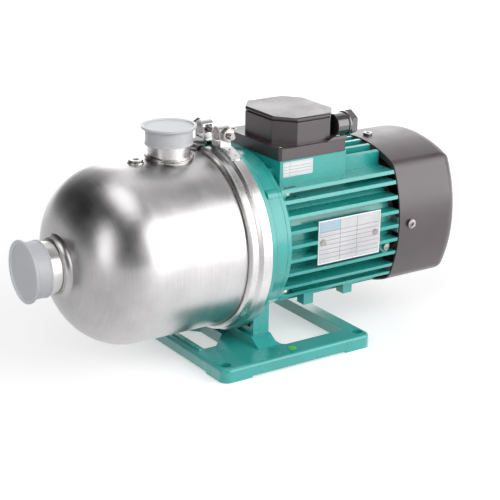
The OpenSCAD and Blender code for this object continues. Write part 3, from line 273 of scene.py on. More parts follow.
class Effects:
    """The shading effects that several finishes share."""

    def __init__(self) -> None:
        """Builds each group once."""
        self.grain = self.build_grain()
        self.skin = self.build_skin()
        self.dust = self.build_dust()
        self.edge = self.build_edge()

    def build_edge(self, flat: float = 0.995, highlight_full: float = 0.8) -> bpy.types.NodeTree:
        """Edges rounded by a fraction of a millimetre, and a mask of where they are, which paints
        a highlight on them.

        Args:
            flat: agreement of the rounded and the true normal where the mask starts.
            highlight_full: agreement of the two where the mask is full.

        Returns:
            The group, with the rounded normal and an edge mask for the painted highlight.
        """
        group = Group("rounded_edge_highlight", {"Width": 0.0006}, ("Normal", "Mask"))
        rounded = group.node("Bevel", samples=6)
        group.feed(group.source["Width"], rounded.inputs["Radius"])
        true_normal = group.node("NewGeometry").outputs["Normal"]
        agreement = group.vector("DOT_PRODUCT", rounded.outputs[0], true_normal).outputs["Value"]
        group.feed(rounded.outputs[0], group.sink["Normal"])
        group.feed(group.ramp(agreement, (flat, highlight_full), smooth=False), group.sink["Mask"])
        return group.tree

    def build_grain(self, stretch: float = 22.0, wrap: float = 1.6,
                    clouds: float = 46.0, share: float = 0.4) -> bpy.types.NodeTree:
        """Fine circular or straight scratches over soft clouds.

        Args:
            stretch: scale of straight scratches along the shaft.
            wrap: scale of circular scratches around the shaft.
            clouds: scale of the clouds.
            share: how much of the tone comes from the scratches.

        Returns:
            The group, with a height and a tone output.
        """
        group = Group("fine_grain", {"Fineness": 900.0, "Turn": 1.0}, ("Height", "Tone"))
        fineness = group.source["Fineness"]
        place = group.node("TexCoord").outputs["Object"]
        along, across, up = group.split(place)
        height = group.math("SUBTRACT", up, SHAFT_Z)
        angle = group.math("ARCTAN2", across, height)
        radius = group.math("SQRT", group.math("ADD", group.math("MULTIPLY", across, across),
                                               group.math("MULTIPLY", height, height)))
        turned = group.combine(group.math("MULTIPLY", along, fineness),
                               group.math("MULTIPLY", angle, wrap),
                               group.math("MULTIPLY", radius, fineness))
        straight = group.combine(group.math("MULTIPLY", along, stretch),
                                 group.math("MULTIPLY", across, fineness),
                                 group.math("MULTIPLY", up, fineness))
        chosen = group.mix(Blend.VECTOR, group.source["Turn"], straight, turned)
        scratches = group.noise(chosen, scale=1.0, detail=3.0)
        cloud = group.noise(place, clouds, detail=6.0, roughness=0.62)
        group.feed(scratches, group.sink["Height"])
        group.feed(group.math("ADD", group.math("MULTIPLY", scratches, share),
                              group.math("MULTIPLY", cloud, 1.0 - share)), group.sink["Tone"])
        return group.tree

    def build_skin(self) -> bpy.types.NodeTree:
        """Orange peel of paint, or the skin of a casting or moulding.

        Returns:
            The group, with a height and a tone output.
        """
        group = Group("cast_skin", {"Fineness": 700.0, "Patches": 18.0}, ("Height", "Tone"))
        place = group.node("TexCoord").outputs["Object"]
        peel = group.noise(place, group.source["Fineness"], detail=2.0)
        patches = group.noise(place, group.source["Patches"], detail=5.0, roughness=0.6)
        group.feed(peel, group.sink["Height"])
        group.feed(patches, group.sink["Tone"])
        return group.tree

    def build_dust(self, steepest: float = 0.55, spots: float = 60.0,
                   gathered: Pair = (0.35, 0.75)) -> bpy.types.NodeTree:
        """Fine dust on faces that look up.

        Args:
            steepest: upward part of the normal from which dust lies.
            spots: scale of its spots.
            gathered: the noise levels where a spot starts and where it is full.

        Returns:
            The group, with a mask output.
        """
        group = Group("upward_dust", {"Amount": 0.3}, ("Mask",))
        upward = group.split(group.node("NewGeometry").outputs["Normal"])[2]
        lying = group.ramp(upward, (steepest, 1.0), smooth=False)
        cloud = group.noise(group.node("TexCoord").outputs["Object"], spots, detail=6.0)
        spotted = group.math("MULTIPLY", lying, group.ramp(cloud, gathered, smooth=False))
        group.feed(group.math("MULTIPLY", spotted, group.source["Amount"]), group.sink["Mask"])
        return group.tree


@dataclass(frozen=True)
class Finish:
    """One finish: its colours, gloss and the scale of its surface."""

    name: str
    colour: Triple
    shade: Triple
    gloss_low: float
    gloss_high: float
    metal: float = 0.0
    coat: float = 0.0
    coat_roughness: float = 0.2
    specular: float = 0.5
    transmission: float = 0.0
    bump: float = 0.1
    bump_depth: float = 0.0001
    fineness: float = 700.0
    patches: float = 18.0
    dust: float = 0.0
    dust_colour: Triple = (0.42, 0.41, 0.38)
    dust_roughness: float = 0.5
    grain: Spread | None = None
    edge_width: float = 0.0006
    # How much lighter the colour is painted on rounded edges: a painted highlight.
    edge_highlight_lift: float = 1.25

    def add_surface(self, graph: Graph, effects: Effects) -> bpy.types.Node:
        """Adds the group that gives the finish its grain or skin.

        Args:
            graph: the material's graph.
            effects: the shared effects.

        Returns:
            The group's node.
        """
        surface = graph.node("Group")
        if self.grain is None:
            surface.node_tree = effects.skin
            surface.inputs["Patches"].default_value = self.patches
        else:
            surface.node_tree = effects.grain
            surface.inputs["Turn"].default_value = float(self.grain is Spread.AROUND)
        surface.inputs["Fineness"].default_value = self.fineness
        return surface

    def build(self, effects: Effects) -> bpy.types.Material:
        """Makes the material.

        Args:
            effects: the shared effects.

        Returns:
            The new material.
        """
        material = bpy.data.materials.new(self.name)
        material.use_nodes = True
        graph = Graph(material.node_tree)
        surface = self.add_surface(graph, effects)
        tone = surface.outputs["Tone"]
        share = graph.ramp(tone, TONE_RANGE, smooth=False)
        colour = graph.mix(Blend.COLOUR, share, self.shade, self.colour)
        roughness = graph.ramp(tone, TONE_RANGE, (self.gloss_low, self.gloss_high), smooth=False)
        if self.dust > 0.0:
            dust = graph.node("Group")
            dust.node_tree = effects.dust
            dust.inputs["Amount"].default_value = self.dust
            mask = dust.outputs["Mask"]
            colour = graph.mix(Blend.COLOUR, mask, colour, self.dust_colour)
            roughness = graph.math("ADD", roughness,
                                   graph.math("MULTIPLY", mask, self.dust_roughness))
        # Rounded edges get a painted highlight: the colour there is scaled up by the edge lift.
        edge = graph.node("Group")
        edge.node_tree = effects.edge
        edge.inputs["Width"].default_value = self.edge_width
        highlighted = graph.vector("SCALE", colour)
        highlighted.inputs["Scale"].default_value = self.edge_highlight_lift
        colour = graph.mix(Blend.COLOUR, edge.outputs["Mask"], colour, highlighted.outputs[0])
        bump = graph.node("Bump")
        for label, value in {"Normal": edge.outputs["Normal"], "Strength": self.bump,
                             "Distance": self.bump_depth,
                             "Height": surface.outputs["Height"]}.items():
            graph.feed(value, bump.inputs[label])
        shader = material.node_tree.nodes["Principled BSDF"]
        for label, value in {"Base Color": colour, "Roughness": roughness,
                             "Normal": bump.outputs[0], "Metallic": self.metal,
                             "Coat Weight": self.coat, "Coat Roughness": self.coat_roughness,
                             "Specular IOR Level": self.specular,
                             "Transmission Weight": self.transmission}.items():
            graph.feed(value, shader.inputs[label])
        return material


FINISHES = (
    Finish("barrel_steel", (0.62, 0.605, 0.605), (0.46, 0.45, 0.45), 0.28, 0.40, metal=1.0,
           bump=0.04, bump_depth=0.00004, fineness=1700.0, grain=Spread.AROUND),
    Finish("inner_steel", (0.62, 0.62, 0.63), (0.52, 0.52, 0.53), 0.25, 0.4, metal=1.0,
           bump=0.15, bump_depth=0.00006, fineness=1200.0, grain=Spread.AROUND),
    Finish("bright_steel", (0.68, 0.67, 0.66), (0.54, 0.53, 0.53), 0.22, 0.36, metal=1.0,
           bump=0.08, bump_depth=0.00005, fineness=1600.0, grain=Spread.AROUND),
    Finish("plated_screw", (0.50, 0.48, 0.46), (0.16, 0.15, 0.145), 0.14, 0.34, metal=1.0,
           patches=300.0, bump=0.2, bump_depth=0.00005, fineness=1500.0),
    Finish("cap_white", (0.84, 0.85, 0.875), (0.76, 0.775, 0.80), 0.34, 0.44, transmission=0.45,
           fineness=500.0),
    Finish("green_casting", (0.026, 0.42, 0.385), (0.017, 0.33, 0.305), 0.22, 0.36, coat=0.75,
           bump=0.28, bump_depth=0.00016, fineness=620.0, dust=0.08),
    Finish("green_alloy", (0.022, 0.41, 0.372), (0.015, 0.33, 0.30), 0.2, 0.34, coat=0.7,
           bump=0.24, bump_depth=0.00014, fineness=680.0, dust=0.06),
    Finish("black_plastic", (0.060, 0.038, 0.044), (0.032, 0.021, 0.024), 0.26, 0.42,
           patches=26.0, bump=0.26, bump_depth=0.00008, fineness=1500.0, specular=0.85, dust=0.06,
           edge_width=0.0008, edge_highlight_lift=1.1),
    Finish("gland_plastic", (0.040, 0.034, 0.036), (0.026, 0.022, 0.024), 0.16, 0.28, coat=1.0,
           coat_roughness=0.14, specular=1.0, bump_depth=0.00004, fineness=1500.0),
    Finish("fan_plastic", (0.03, 0.03, 0.033), (0.02, 0.02, 0.022), 0.4, 0.55, bump=0.2,
           fineness=900.0),
    Finish("black_rubber", (0.02, 0.02, 0.021), (0.013, 0.013, 0.014), 0.6, 0.8, bump=0.3,
           fineness=1200.0),
    Finish("silver_plate", (0.66, 0.68, 0.70), (0.58, 0.60, 0.62), 0.24, 0.36, metal=0.9,
           bump_depth=0.00004, fineness=1800.0, grain=Spread.ALONG),
    Finish("bare_alloy", (0.50, 0.51, 0.52), (0.38, 0.39, 0.40), 0.34, 0.5, metal=1.0, bump=0.4,
           bump_depth=0.0002, fineness=500.0),
    Finish("lamination", (0.24, 0.245, 0.26), (0.16, 0.165, 0.175), 0.35, 0.5, metal=1.0,
           bump=0.5, fineness=1900.0, grain=Spread.AROUND),
    Finish("copper_wire", (0.58, 0.25, 0.11), (0.42, 0.16, 0.07), 0.2, 0.34, metal=1.0, bump=0.6,
           bump_depth=0.0004, fineness=800.0, grain=Spread.ALONG),
    Finish("ceramic", (0.74, 0.72, 0.66), (0.66, 0.63, 0.57), 0.2, 0.32),
    Finish("carbon", (0.045, 0.045, 0.05), (0.03, 0.03, 0.033), 0.24, 0.36),
    Finish("label_paper", (0.80, 0.80, 0.81), (0.74, 0.74, 0.75), 0.4, 0.5,
           bump_depth=0.00003, fineness=2400.0, patches=60.0, coat=0.3),
    Finish("print_grey", (0.30, 0.31, 0.33), (0.24, 0.25, 0.27), 0.35, 0.45, bump=0.05),
    Finish("plate_print", (0.62, 0.61, 0.62), (0.48, 0.48, 0.50), 0.26, 0.4, metal=0.35,
           bump=0.08, bump_depth=0.00003, fineness=1800.0, grain=Spread.ALONG),
    Finish("plate_blue", (0.40, 0.52, 0.60), (0.32, 0.43, 0.51), 0.26, 0.4, metal=0.3,
           bump=0.08, bump_depth=0.00003, fineness=1800.0, grain=Spread.ALONG),
    Finish("lime_dot", (0.13, 0.62, 0.05), (0.10, 0.52, 0.04), 0.3, 0.42, bump=0.05, coat=0.3),
    Finish("weld_steel", (0.56, 0.53, 0.50), (0.36, 0.33, 0.31), 0.2, 0.4, metal=1.0, bump=0.3,
           bump_depth=0.00008, fineness=900.0, patches=160.0),
    Finish("bearing_steel", (0.72, 0.72, 0.73), (0.64, 0.64, 0.65), 0.08, 0.16, metal=1.0,
           bump=0.04, fineness=1800.0, grain=Spread.AROUND),
)


@dataclass(frozen=True)
class Card:
    """A soft bright card that only mirrored light sees, as a direction and its spread."""

    towards: Triple
    reach: Triple
    level: float
    outer: float = 1.3
    inner: float = 0.6

    def add(self, graph: Graph, direction: Socket, behind: Socket) -> Socket:
        """Lays the card over what is behind it.

        Args:
            graph: the world's graph.
            direction: the ray's direction.
            behind: the light level without the card.

        Returns:
            The light level with the card.
        """
        apart = graph.vector("SUBTRACT", direction, self.towards).outputs[0]
        scaled = graph.vector("DIVIDE", apart, self.reach).outputs[0]
        away = graph.vector("LENGTH", scaled).outputs["Value"]
        shine = graph.ramp(away, (self.outer, self.inner), (0.0, self.level))
        return graph.math("MAXIMUM", behind, shine)


@dataclass(frozen=True)
class SoftBox:
    """A rectangular lamp that faces the pump."""

    name: str
    place: Triple
    target: Triple
    width: float
    height: float
    power: float
    mirrored: bool = True

    def add(self) -> None:
        """Adds the lamp, which the camera doesn't see."""
        data = bpy.data.lights.new(self.name, "AREA")
        data.shape = "RECTANGLE"
        data.size = self.width
        data.size_y = self.height
        data.energy = self.power
        lamp = bpy.data.objects.new(self.name, data)
        lamp.location = self.place
        lamp.visible_camera = False
        lamp.visible_glossy = self.mirrored
        ahead = Vector(self.target) - Vector(self.place)
        lamp.rotation_euler = ahead.to_track_quat("-Z", "Y").to_euler()
        bpy.context.scene.collection.objects.link(lamp)


@dataclass
class Studio:
    """Camera, floor, lamps and world."""

    camera_place: Triple = (-0.62758, -0.93265, 0.46695)
    yaw: float = 34.14
    pitch: float = -19.39
    roll: float = 0.85
    lens: float = 106.656
    sensor: float = 36.0
    clip_start: float = 0.05
    floor_half: float = 6.0
    floor_drop: float = 0.0002
    floor_colour: tuple[float, float, float, float] = (0.72, 0.72, 0.73, 1.0)
    floor_roughness: float = 0.9
    glow_reach: Pair = (0.35, 1.8)
    glow_level: Pair = (0.46, 1.0)
    mirror_middle: float = 0.1
    mirror_softness: float = 0.3
    mirror_turn: Pair = (-0.35, 0.22)
    mirror_level: Pair = (0.35, 1.75)
    ambient: float = 0.44
    side_turn: Pair = (-0.3, 0.55)
    side_level: Pair = (0.03, 1.0)
    ceiling_rise: Pair = (0.4, 0.85)
    ceiling_level: Pair = (1.0, 0.34)
    horizon_rise: Pair = (0.05, 0.35)
    horizon_level: Pair = (0.18, 0.0)
    cards: tuple[Card, ...] = (Card((-0.90, -0.32, 0.20), (0.34, 0.22, 0.62), 2.6),
                               Card((0.0, -0.05, 1.0), (0.28, 0.50, 0.5), 2.4),
                               Card((0.5, 0.44, 0.74), (0.42, 0.32, 0.32), 1.25))
    lamps: tuple[SoftBox, ...] = (
        SoftBox("right_box", (1.15, -1.5, 0.82), (0.0, 0.0, 0.08), 2.2, 1.9, 35.0),
        SoftBox("left_box", (-1.3, -0.9, 1.3), (0.0, 0.0, 0.08), 1.2, 0.9, 9.0, mirrored=False),
        SoftBox("back_box", (1.3, 1.6, 0.8), (0.0, 0.0, 0.1), 1.7, 1.0, 9.0))

    def add_camera(self) -> None:
        """Puts the camera where the photograph was taken from."""
        yaw, pitch, roll = (math.radians(a) for a in (self.yaw, self.pitch, self.roll))
        ahead = Vector((math.sin(yaw) * math.cos(pitch), math.cos(yaw) * math.cos(pitch),
                        math.sin(pitch)))
        right = ahead.cross(Vector((0.0, 0.0, 1.0))).normalized()
        up = right.cross(ahead)
        turned_right = right * math.cos(roll) + up * math.sin(roll)
        turned_up = up * math.cos(roll) - right * math.sin(roll)
        matrix = Matrix((turned_right, turned_up, -ahead)).transposed().to_4x4()
        matrix.translation = Vector(self.camera_place)
        camera = bpy.data.objects.new("camera", bpy.data.cameras.new("camera"))
        camera.data.lens = self.lens
        camera.data.sensor_width = self.sensor
        camera.data.clip_start = self.clip_start
        camera.matrix_world = matrix
        bpy.context.scene.collection.objects.link(camera)
        bpy.context.scene.camera = camera

    def add_world(self) -> None:
        """White to the camera, softer as light, and with bright cards in mirrors."""
        world = bpy.data.worlds.new("studio_world")
        bpy.context.scene.world = world
        world.use_nodes = True
        graph = Graph(world.node_tree)
        background = world.node_tree.nodes["Background"]
        background.inputs["Color"].default_value = WHITE
        rays = graph.node("LightPath").outputs
        direction = graph.node("TexCoord").outputs["Generated"]
        across, _, rise = graph.split(direction)
        side = graph.ramp(across, self.side_turn, self.side_level)
        ceiling = graph.ramp(rise, self.ceiling_rise, self.ceiling_level)
        horizon = graph.ramp(rise, self.horizon_rise, self.horizon_level)
        mirrored = graph.math("MULTIPLY", graph.math("MAXIMUM", side, horizon), ceiling)
        for card in self.cards:
            mirrored = card.add(graph, direction, mirrored)
        seen = graph.math("MAXIMUM", rays["Is Camera Ray"], rays["Is Transmission Ray"])
        level = graph.ramp(seen, (0.0, 1.0), (self.ambient, 1.0), smooth=False)
        graph.feed(graph.mix(Blend.NUMBER, rays["Is Glossy Ray"], level, mirrored),
                   background.inputs["Strength"])

    def add_floor_glow(self, graph: Graph) -> Socket:
        """Makes the floor white far away, and in mirrors brighter on the right.

        Args:
            graph: the floor's graph.

        Returns:
            The strength of the floor's glow.
        """
        rays = graph.node("LightPath").outputs
        place = graph.node("TexCoord").outputs["Object"]
        distance = graph.vector("LENGTH", place).outputs["Value"]
        seen = graph.math("MAXIMUM", rays["Is Camera Ray"], rays["Is Glossy Ray"])
        glow = graph.math("MULTIPLY", seen, graph.ramp(distance, self.glow_reach, self.glow_level))
        turned = graph.math("DIVIDE",
                            graph.math("ADD", graph.split(place)[0], self.mirror_middle),
                            graph.math("ADD", distance, self.mirror_softness))
        side = graph.ramp(turned, self.mirror_turn, self.mirror_level)
        return graph.math("MULTIPLY", glow,
                          graph.mix(Blend.NUMBER, rays["Is Glossy Ray"], 1.0, side))

    def add_floor(self) -> None:
        """A plain white floor that keeps the shadow."""
        bpy.ops.mesh.primitive_plane_add(size=2 * self.floor_half,
                                         location=(0.0, 0.0, -self.floor_drop))
        floor = bpy.context.object
        floor.name = "floor"
        material = bpy.data.materials.new("floor_white")
        material.use_nodes = True
        graph = Graph(material.node_tree)
        shader = material.node_tree.nodes["Principled BSDF"]
        for label, value in {"Base Color": self.floor_colour, "Roughness": self.floor_roughness,
                             "Specular IOR Level": 0.0, "Emission Color": WHITE,
                             "Emission Strength": self.add_floor_glow(graph)}.items():
            graph.feed(value, shader.inputs[label])
        floor.data.materials.append(material)

    def build(self) -> None:
        """Builds the whole studio."""
        bpy.context.scene.view_settings.view_transform = "Standard"
        self.add_camera()
        self.add_world()
        self.add_floor()
        for lamp in self.lamps:
            lamp.add()
        LOG.info("studio: camera, world, floor and %d soft boxes", len(self.lamps))


@dataclass
class Carried:
    """The CAD nodes that stay as they are and take a finish."""

    glossy: tuple[str, ...] = ("gland_nut",)

    def dress(self, frame: dict, materials: dict[str, bpy.types.Material]) -> None:
        """Gives every CAD node its finish.

        Args:
            materials: the finishes by name.
        """
        slots = {part["node"]: part["material_slot"] for part in frame["record"]["subparts"]}
        for name, node in frame["nodes"].items():
            node.data.materials.clear()
            finish = "gland_plastic" if name in self.glossy else slots[name]
            node.data.materials.append(materials[finish])
            LOG.info("node %s: %s", name, finish)


class Bench:
    """Modelling steps that every new piece goes through."""

    @staticmethod
    def start() -> None:
        """Leaves edit mode and deselects everything."""
        if bpy.context.object is not None and bpy.context.object.mode != "OBJECT":
            bpy.ops.object.mode_set(mode="OBJECT")
        bpy.ops.object.select_all(action="DESELECT")

    @staticmethod
    def pick(kind: str, test: Callable[[object], bool]) -> None:
        """Selects the active mesh's parts that pass a test, in edit mode.

        Args:
            kind: verts, edges or faces.
            test: says which parts are selected.
        """
        mesh = bpy.context.object.data
        bpy.ops.object.mode_set(mode="EDIT")
        bpy.ops.mesh.select_mode(type={"verts": "VERT", "edges": "EDGE", "faces": "FACE"}[kind])
        bpy.ops.mesh.select_all(action="DESELECT")
        edited = bmesh.from_edit_mesh(mesh)
        for part in filter(test, getattr(edited, kind)):
            part.select_set(True)
        edited.select_flush_mode()
        bmesh.update_edit_mesh(mesh)

    @staticmethod
    def cut(test: Callable[[object], bool], place: Triple, normal: Triple) -> None:
        """Cuts the faces that pass a test along one plane.

        Args:
            test: says which faces are cut.
            place: a point of the plane.
            normal: the plane's direction.
        """
        Bench.pick("faces", test)
        bpy.ops.mesh.bisect(plane_co=place, plane_no=normal)

    @staticmethod
    def shape(change: Callable[[bmesh.types.BMVert], None]) -> None:
        """Calls a function on every vertex of the active mesh, in edit mode.

        Args:
            change: moves one vertex.
        """
        edited = bmesh.from_edit_mesh(bpy.context.object.data)
        for vertex in edited.verts:
            change(vertex)
        bmesh.update_edit_mesh(bpy.context.object.data)

    @staticmethod
    def close(name: str, body: str, finishes: tuple[bpy.types.Material, ...], slot: str = "",
              angle: float = 35.0) -> bpy.types.Object:
        """Finishes the active piece: doubles, normals, place, shading, body and finish.

        Args:
            name: the piece's name.
            body: the CAD body that it rides on.
            finishes: its materials in the order of its material indices.
            slot: not used.
            angle: the smoothing angle in degrees.

        Returns:
            The finished piece.
        """
        bpy.ops.object.mode_set(mode="EDIT")
        bpy.ops.mesh.select_all(action="SELECT")
        bpy.ops.mesh.remove_doubles(threshold=MERGE_REACH)
        bpy.ops.mesh.normals_make_consistent(inside=False)
        bpy.ops.object.mode_set(mode="OBJECT")
        bpy.ops.object.transform_apply()
        bpy.ops.object.shade_smooth_by_angle(angle=math.radians(angle))
        piece = bpy.context.object
        piece.name = name
        piece.data.name = name
        for finish in finishes:
            piece.data.materials.append(finish)
        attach(piece, body)
        LOG.info("piece %s on %s: %d faces", name, body, len(piece.data.polygons))
        return piece

    @staticmethod
    def rings(radius: float, depth: float, place: Triple, turn: Triple, cuts: int,
              sides: int = 32, caps: str = "NGON") -> None:
        """Adds a cylinder cut into rings along its axis, left in edit mode.

        Args:
            radius: its radius.
            depth: its length.
            place: its centre.
            turn: its rotation, as Euler angles.
            cuts: the number of cuts along it.
            sides: its number of sides.
            caps: how its ends are filled.
        """
        Bench.start()
        bpy.ops.mesh.primitive_cylinder_add(vertices=sides, radius=radius, depth=depth,
                                            end_fill_type=caps, location=place, rotation=turn)
        bpy.ops.object.transform_apply(location=False, rotation=False, scale=True)
        Bench.pick("edges", lambda edge: abs(edge.verts[0].co.z - edge.verts[1].co.z) > depth / 2)
        bpy.ops.mesh.subdivide(number_cuts=cuts)

    @staticmethod
    def ridge(depth: float, cuts: int, change: float) -> None:
        """Moves every second ring of the active cylinder in or out, which makes a thread.

        Args:
            depth: the cylinder's length.
            cuts: the number of cuts along it.
            change: how far the rings move, inwards where negative.
        """
        step = depth / (cuts + 1)

        def move(vertex: bmesh.types.BMVert) -> None:
            """Moves a vertex of an odd ring along its radius.

            Args:
                vertex: any vertex of the cylinder.
            """
            if round((vertex.co.z + depth / 2) / step) % 2 == 1:
                reach = math.hypot(vertex.co.x, vertex.co.y)
                vertex.co.x *= 1.0 + change / reach
                vertex.co.y *= 1.0 + change / reach

        Bench.shape(move)


class Print(IntEnum):
    """The material indices of a printed sheet."""

    RIM = 0
    FIELD = 1
    LINE = 2
    HEAD = 3


@dataclass
class RuledSheet:
    """A thin printed sheet: a rim, a head band and ruled fields, all left blank."""

    name: str
    low: Pair
    high: Pair
    face: float
    rim: float
    line: float
    head: float
    rows: int
    columns: tuple[float, ...]
    corner: float = 0.0011
    corner_segments: int = 4
    thickness: float = 0.00016
    groove: float = 0.00008
    groove_depth: float = 0.00006
    print_rise: float = 0.00004
    flat_angle: float = 5.0

    def build(self, finishes: tuple[bpy.types.Material, ...], slot: str = "") -> None:
        """Builds the sheet on its CAD face.

        Args:
            finishes: rim, field, line and head finishes.
            slot: the record's material slot, if it has one.
        """
        Bench.start()
        middle = ((self.low[0] + self.high[0]) / 2, self.face - self.thickness / 2,
                  (self.low[1] + self.high[1]) / 2)
        bpy.ops.mesh.primitive_cube_add(size=1.0, location=middle,
                                        scale=(self.high[0] - self.low[0], self.thickness,
                                               self.high[1] - self.low[1]))
        bpy.ops.object.transform_apply()
        front = self.face - self.thickness
        Bench.pick("edges", lambda edge: abs(edge.verts[0].co.y - edge.verts[1].co.y)
                   > self.thickness / 2)
        bpy.ops.mesh.bevel(offset=self.corner, segments=self.corner_segments)
        Bench.pick("faces", lambda face: face.normal.y < -LOOKING)
        bpy.ops.mesh.inset(thickness=self.rim, depth=0.0)
        bpy.ops.mesh.inset(thickness=self.groove, depth=-self.groove_depth)
        inner_low = (self.low[0] + self.rim, self.low[1] + self.rim)
        inner_high = (self.high[0] - self.rim, self.high[1] - self.rim)

        def is_field(face: bmesh.types.BMFace) -> bool:
            """Tells whether a face is part of the printed field.

            Args:
                face: any face of the sheet.

            Returns:
                True inside the rim on the front.
            """
            centre = face.calc_center_median()
            return (face.normal.y < -LOOKING and inner_low[0] < centre.x < inner_high[0]
                    and inner_low[1] < centre.z < inner_high[1])

        head_foot = inner_high[1] - self.head
        Bench.cut(is_field, (0.0, front, head_foot), (0.0, 0.0, 1.0))
        for row in range(1, self.rows):
            height = inner_low[1] + (head_foot - inner_low[1]) * row / self.rows
            Bench.cut(lambda face: is_field(face) and face.calc_center_median().z < head_foot,
                      (0.0, front, height), (0.0, 0.0, 1.0))
        for share in self.columns:
            across = inner_low[0] + (inner_high[0] - inner_low[0]) * share
            Bench.cut(is_field, (across, front, 0.0), (1.0, 0.0, 0.0))
        Bench.pick("faces", is_field)
        bpy.ops.mesh.inset(thickness=self.line, depth=self.print_rise, use_individual=True)
        first_end = inner_low[0] + (inner_high[0] - inner_low[0]) * self.columns[0]
        edited = bmesh.from_edit_mesh(bpy.context.object.data)
        for face in edited.faces:
            centre = face.calc_center_median()
            if face.select:
                in_head = centre.z > head_foot and centre.x < first_end
                face.material_index = Print.HEAD if in_head else Print.FIELD
            elif is_field(face):
                face.material_index = Print.LINE
        bmesh.update_edit_mesh(bpy.context.object.data)
        Bench.close(self.name, "frame", finishes, slot, self.flat_angle)


@dataclass
class WeldBead:
    """A rippled weld bead around a socket."""

    name: str
    centre: Triple
    ring: float
    bead: float
    upright: bool
    saddle: float = 0.0
    ripples: int = 84
    ripple_height: float = 0.16
    sides: int = 12
    smooth_angle: float = 60.0

    def ripple(self, vertex: bmesh.types.BMVert) -> None:
        """Swells the bead at one vertex and lays it on the barrel.

        Args:
            vertex: the vertex that moves.
        """
        centre = Vector(self.centre)
        away = vertex.co - centre
        if self.upright:
            angle = math.atan2(away.y, away.x)
            spine = Vector((math.cos(angle), math.sin(angle), 0.0)) * self.ring
        else:
            angle = math.atan2(away.y, away.z)
            spine = Vector((0.0, math.sin(angle), math.cos(angle))) * self.ring
        swell = 1.0 + self.ripple_height * math.cos(self.ripples / 2 * angle)
        vertex.co = centre + spine + (away - spine) * swell
        if self.saddle > 0.0:
            vertex.co.z -= self.saddle - math.sqrt(self.saddle ** 2 - spine.y ** 2)

    def build(self, finish: bpy.types.Material) -> None:
        """Spins a small circle around the socket and swells every second ring.

        Args:
            finish: the weld's finish.
        """
        Bench.start()
        reach = Vector((self.ring, 0.0, 0.0)) if self.upright else Vector((0.0, 0.0, self.ring))
        bpy.ops.mesh.primitive_circle_add(vertices=self.sides, radius=self.bead,
                                          location=Vector(self.centre) + reach,
                                          rotation=(math.pi / 2, 0.0, 0.0))
        bpy.ops.object.transform_apply()
        Bench.pick("verts", lambda vertex: True)
        axis = (0.0, 0.0, 1.0) if self.upright else (1.0, 0.0, 0.0)
        bpy.ops.mesh.spin(steps=self.ripples, angle=2 * math.pi, center=self.centre, axis=axis)
        bpy.ops.mesh.select_all(action="SELECT")
        bpy.ops.mesh.remove_doubles(threshold=2 * MERGE_REACH)
        bpy.ops.mesh.normals_make_consistent(inside=False)
        Bench.shape(self.ripple)
        Bench.close(self.name, "frame", (finish,), "bright_steel", self.smooth_angle)


@dataclass
class ClampFittings:
    """The threaded bolt and the chamfered nut of the clamp."""

    across: float = -0.0304
    height: float = 0.0846
    tilt: float = -1.0
    radius: float = 0.00242
    half_pitch: float = 0.0009
    thread_depth: float = 0.00034
    start: float = -0.0281
    head: float = 0.01815
    head_radius: float = 0.0056
    head_depth: float = 0.004
    nut_radius: float = 0.0058
    nut_depth: float = 0.0046
    nut_face: float = -0.01815
    corner_share: float = 0.16
    crown_share: float = 0.12
    crown_rise_share: float = 0.06
    smooth_angle: float = 30.0

    def turn_on_shaft(self) -> None:
        """Turns the active piece around the shaft to where the clamp's joint is."""
        bpy.ops.object.mode_set(mode="OBJECT")
        piece = bpy.context.object
        around = Matrix.Translation((0.0, 0.0, SHAFT_Z)) @ Matrix.Rotation(
            math.radians(self.tilt), 4, "X") @ Matrix.Translation((0.0, 0.0, -SHAFT_Z))
        piece.matrix_world = around @ piece.matrix_world

    def build_hexagon(self, radius: float, depth: float, middle: float) -> None:
        """Adds a hexagon with chamfered corners across the bolt, at the clamp's joint.

        Args:
            radius: its radius over the corners.
            depth: its height.
            middle: its centre along the bolt.
        """
        Bench.start()
        bpy.ops.mesh.primitive_cylinder_add(vertices=6, radius=radius, depth=depth,
                                            location=(self.across, middle, SHAFT_Z + self.height),
                                            rotation=(-math.pi / 2, 0.0, 0.0))
        Bench.pick("verts", lambda vertex: True)
        bpy.ops.mesh.bevel(offset=radius * self.corner_share, affect="VERTICES", segments=2)
        Bench.pick("faces", lambda face: abs(face.normal.z) > LOOKING)
        bpy.ops.mesh.inset(thickness=radius * self.crown_share,
                           depth=depth * self.crown_rise_share, use_individual=True)
        self.turn_on_shaft()

    def build(self, finish: bpy.types.Material) -> None:
        """Builds bolt and nut.

        Args:
            finish: the plated finish.
        """
        length = self.head - self.start
        middle = (self.head + self.start) / 2
        cuts = 2 * round(length / self.half_pitch) - 1
        Bench.rings(self.radius, length, (self.across, middle, SHAFT_Z + self.height),
                    (-math.pi / 2, 0.0, 0.0), cuts)
        Bench.ridge(length, cuts, -self.thread_depth)
        self.turn_on_shaft()
        stud = bpy.context.object
        self.build_hexagon(self.head_radius, self.head_depth, self.head + self.head_depth / 2)
        stud.select_set(True)
        bpy.ops.object.join()
        bolt = Bench.close("clamp_bolt_threaded", "frame", (finish,), "plated_screw",
                           self.smooth_angle)
        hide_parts("clamp_bolt")
        self.build_hexagon(self.nut_radius, self.nut_depth, self.nut_face - self.nut_depth / 2)
        nut = Bench.close("clamp_nut_chamfered", "frame", (finish,), "plated_screw",
                          self.smooth_angle)
        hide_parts("clamp_nut")


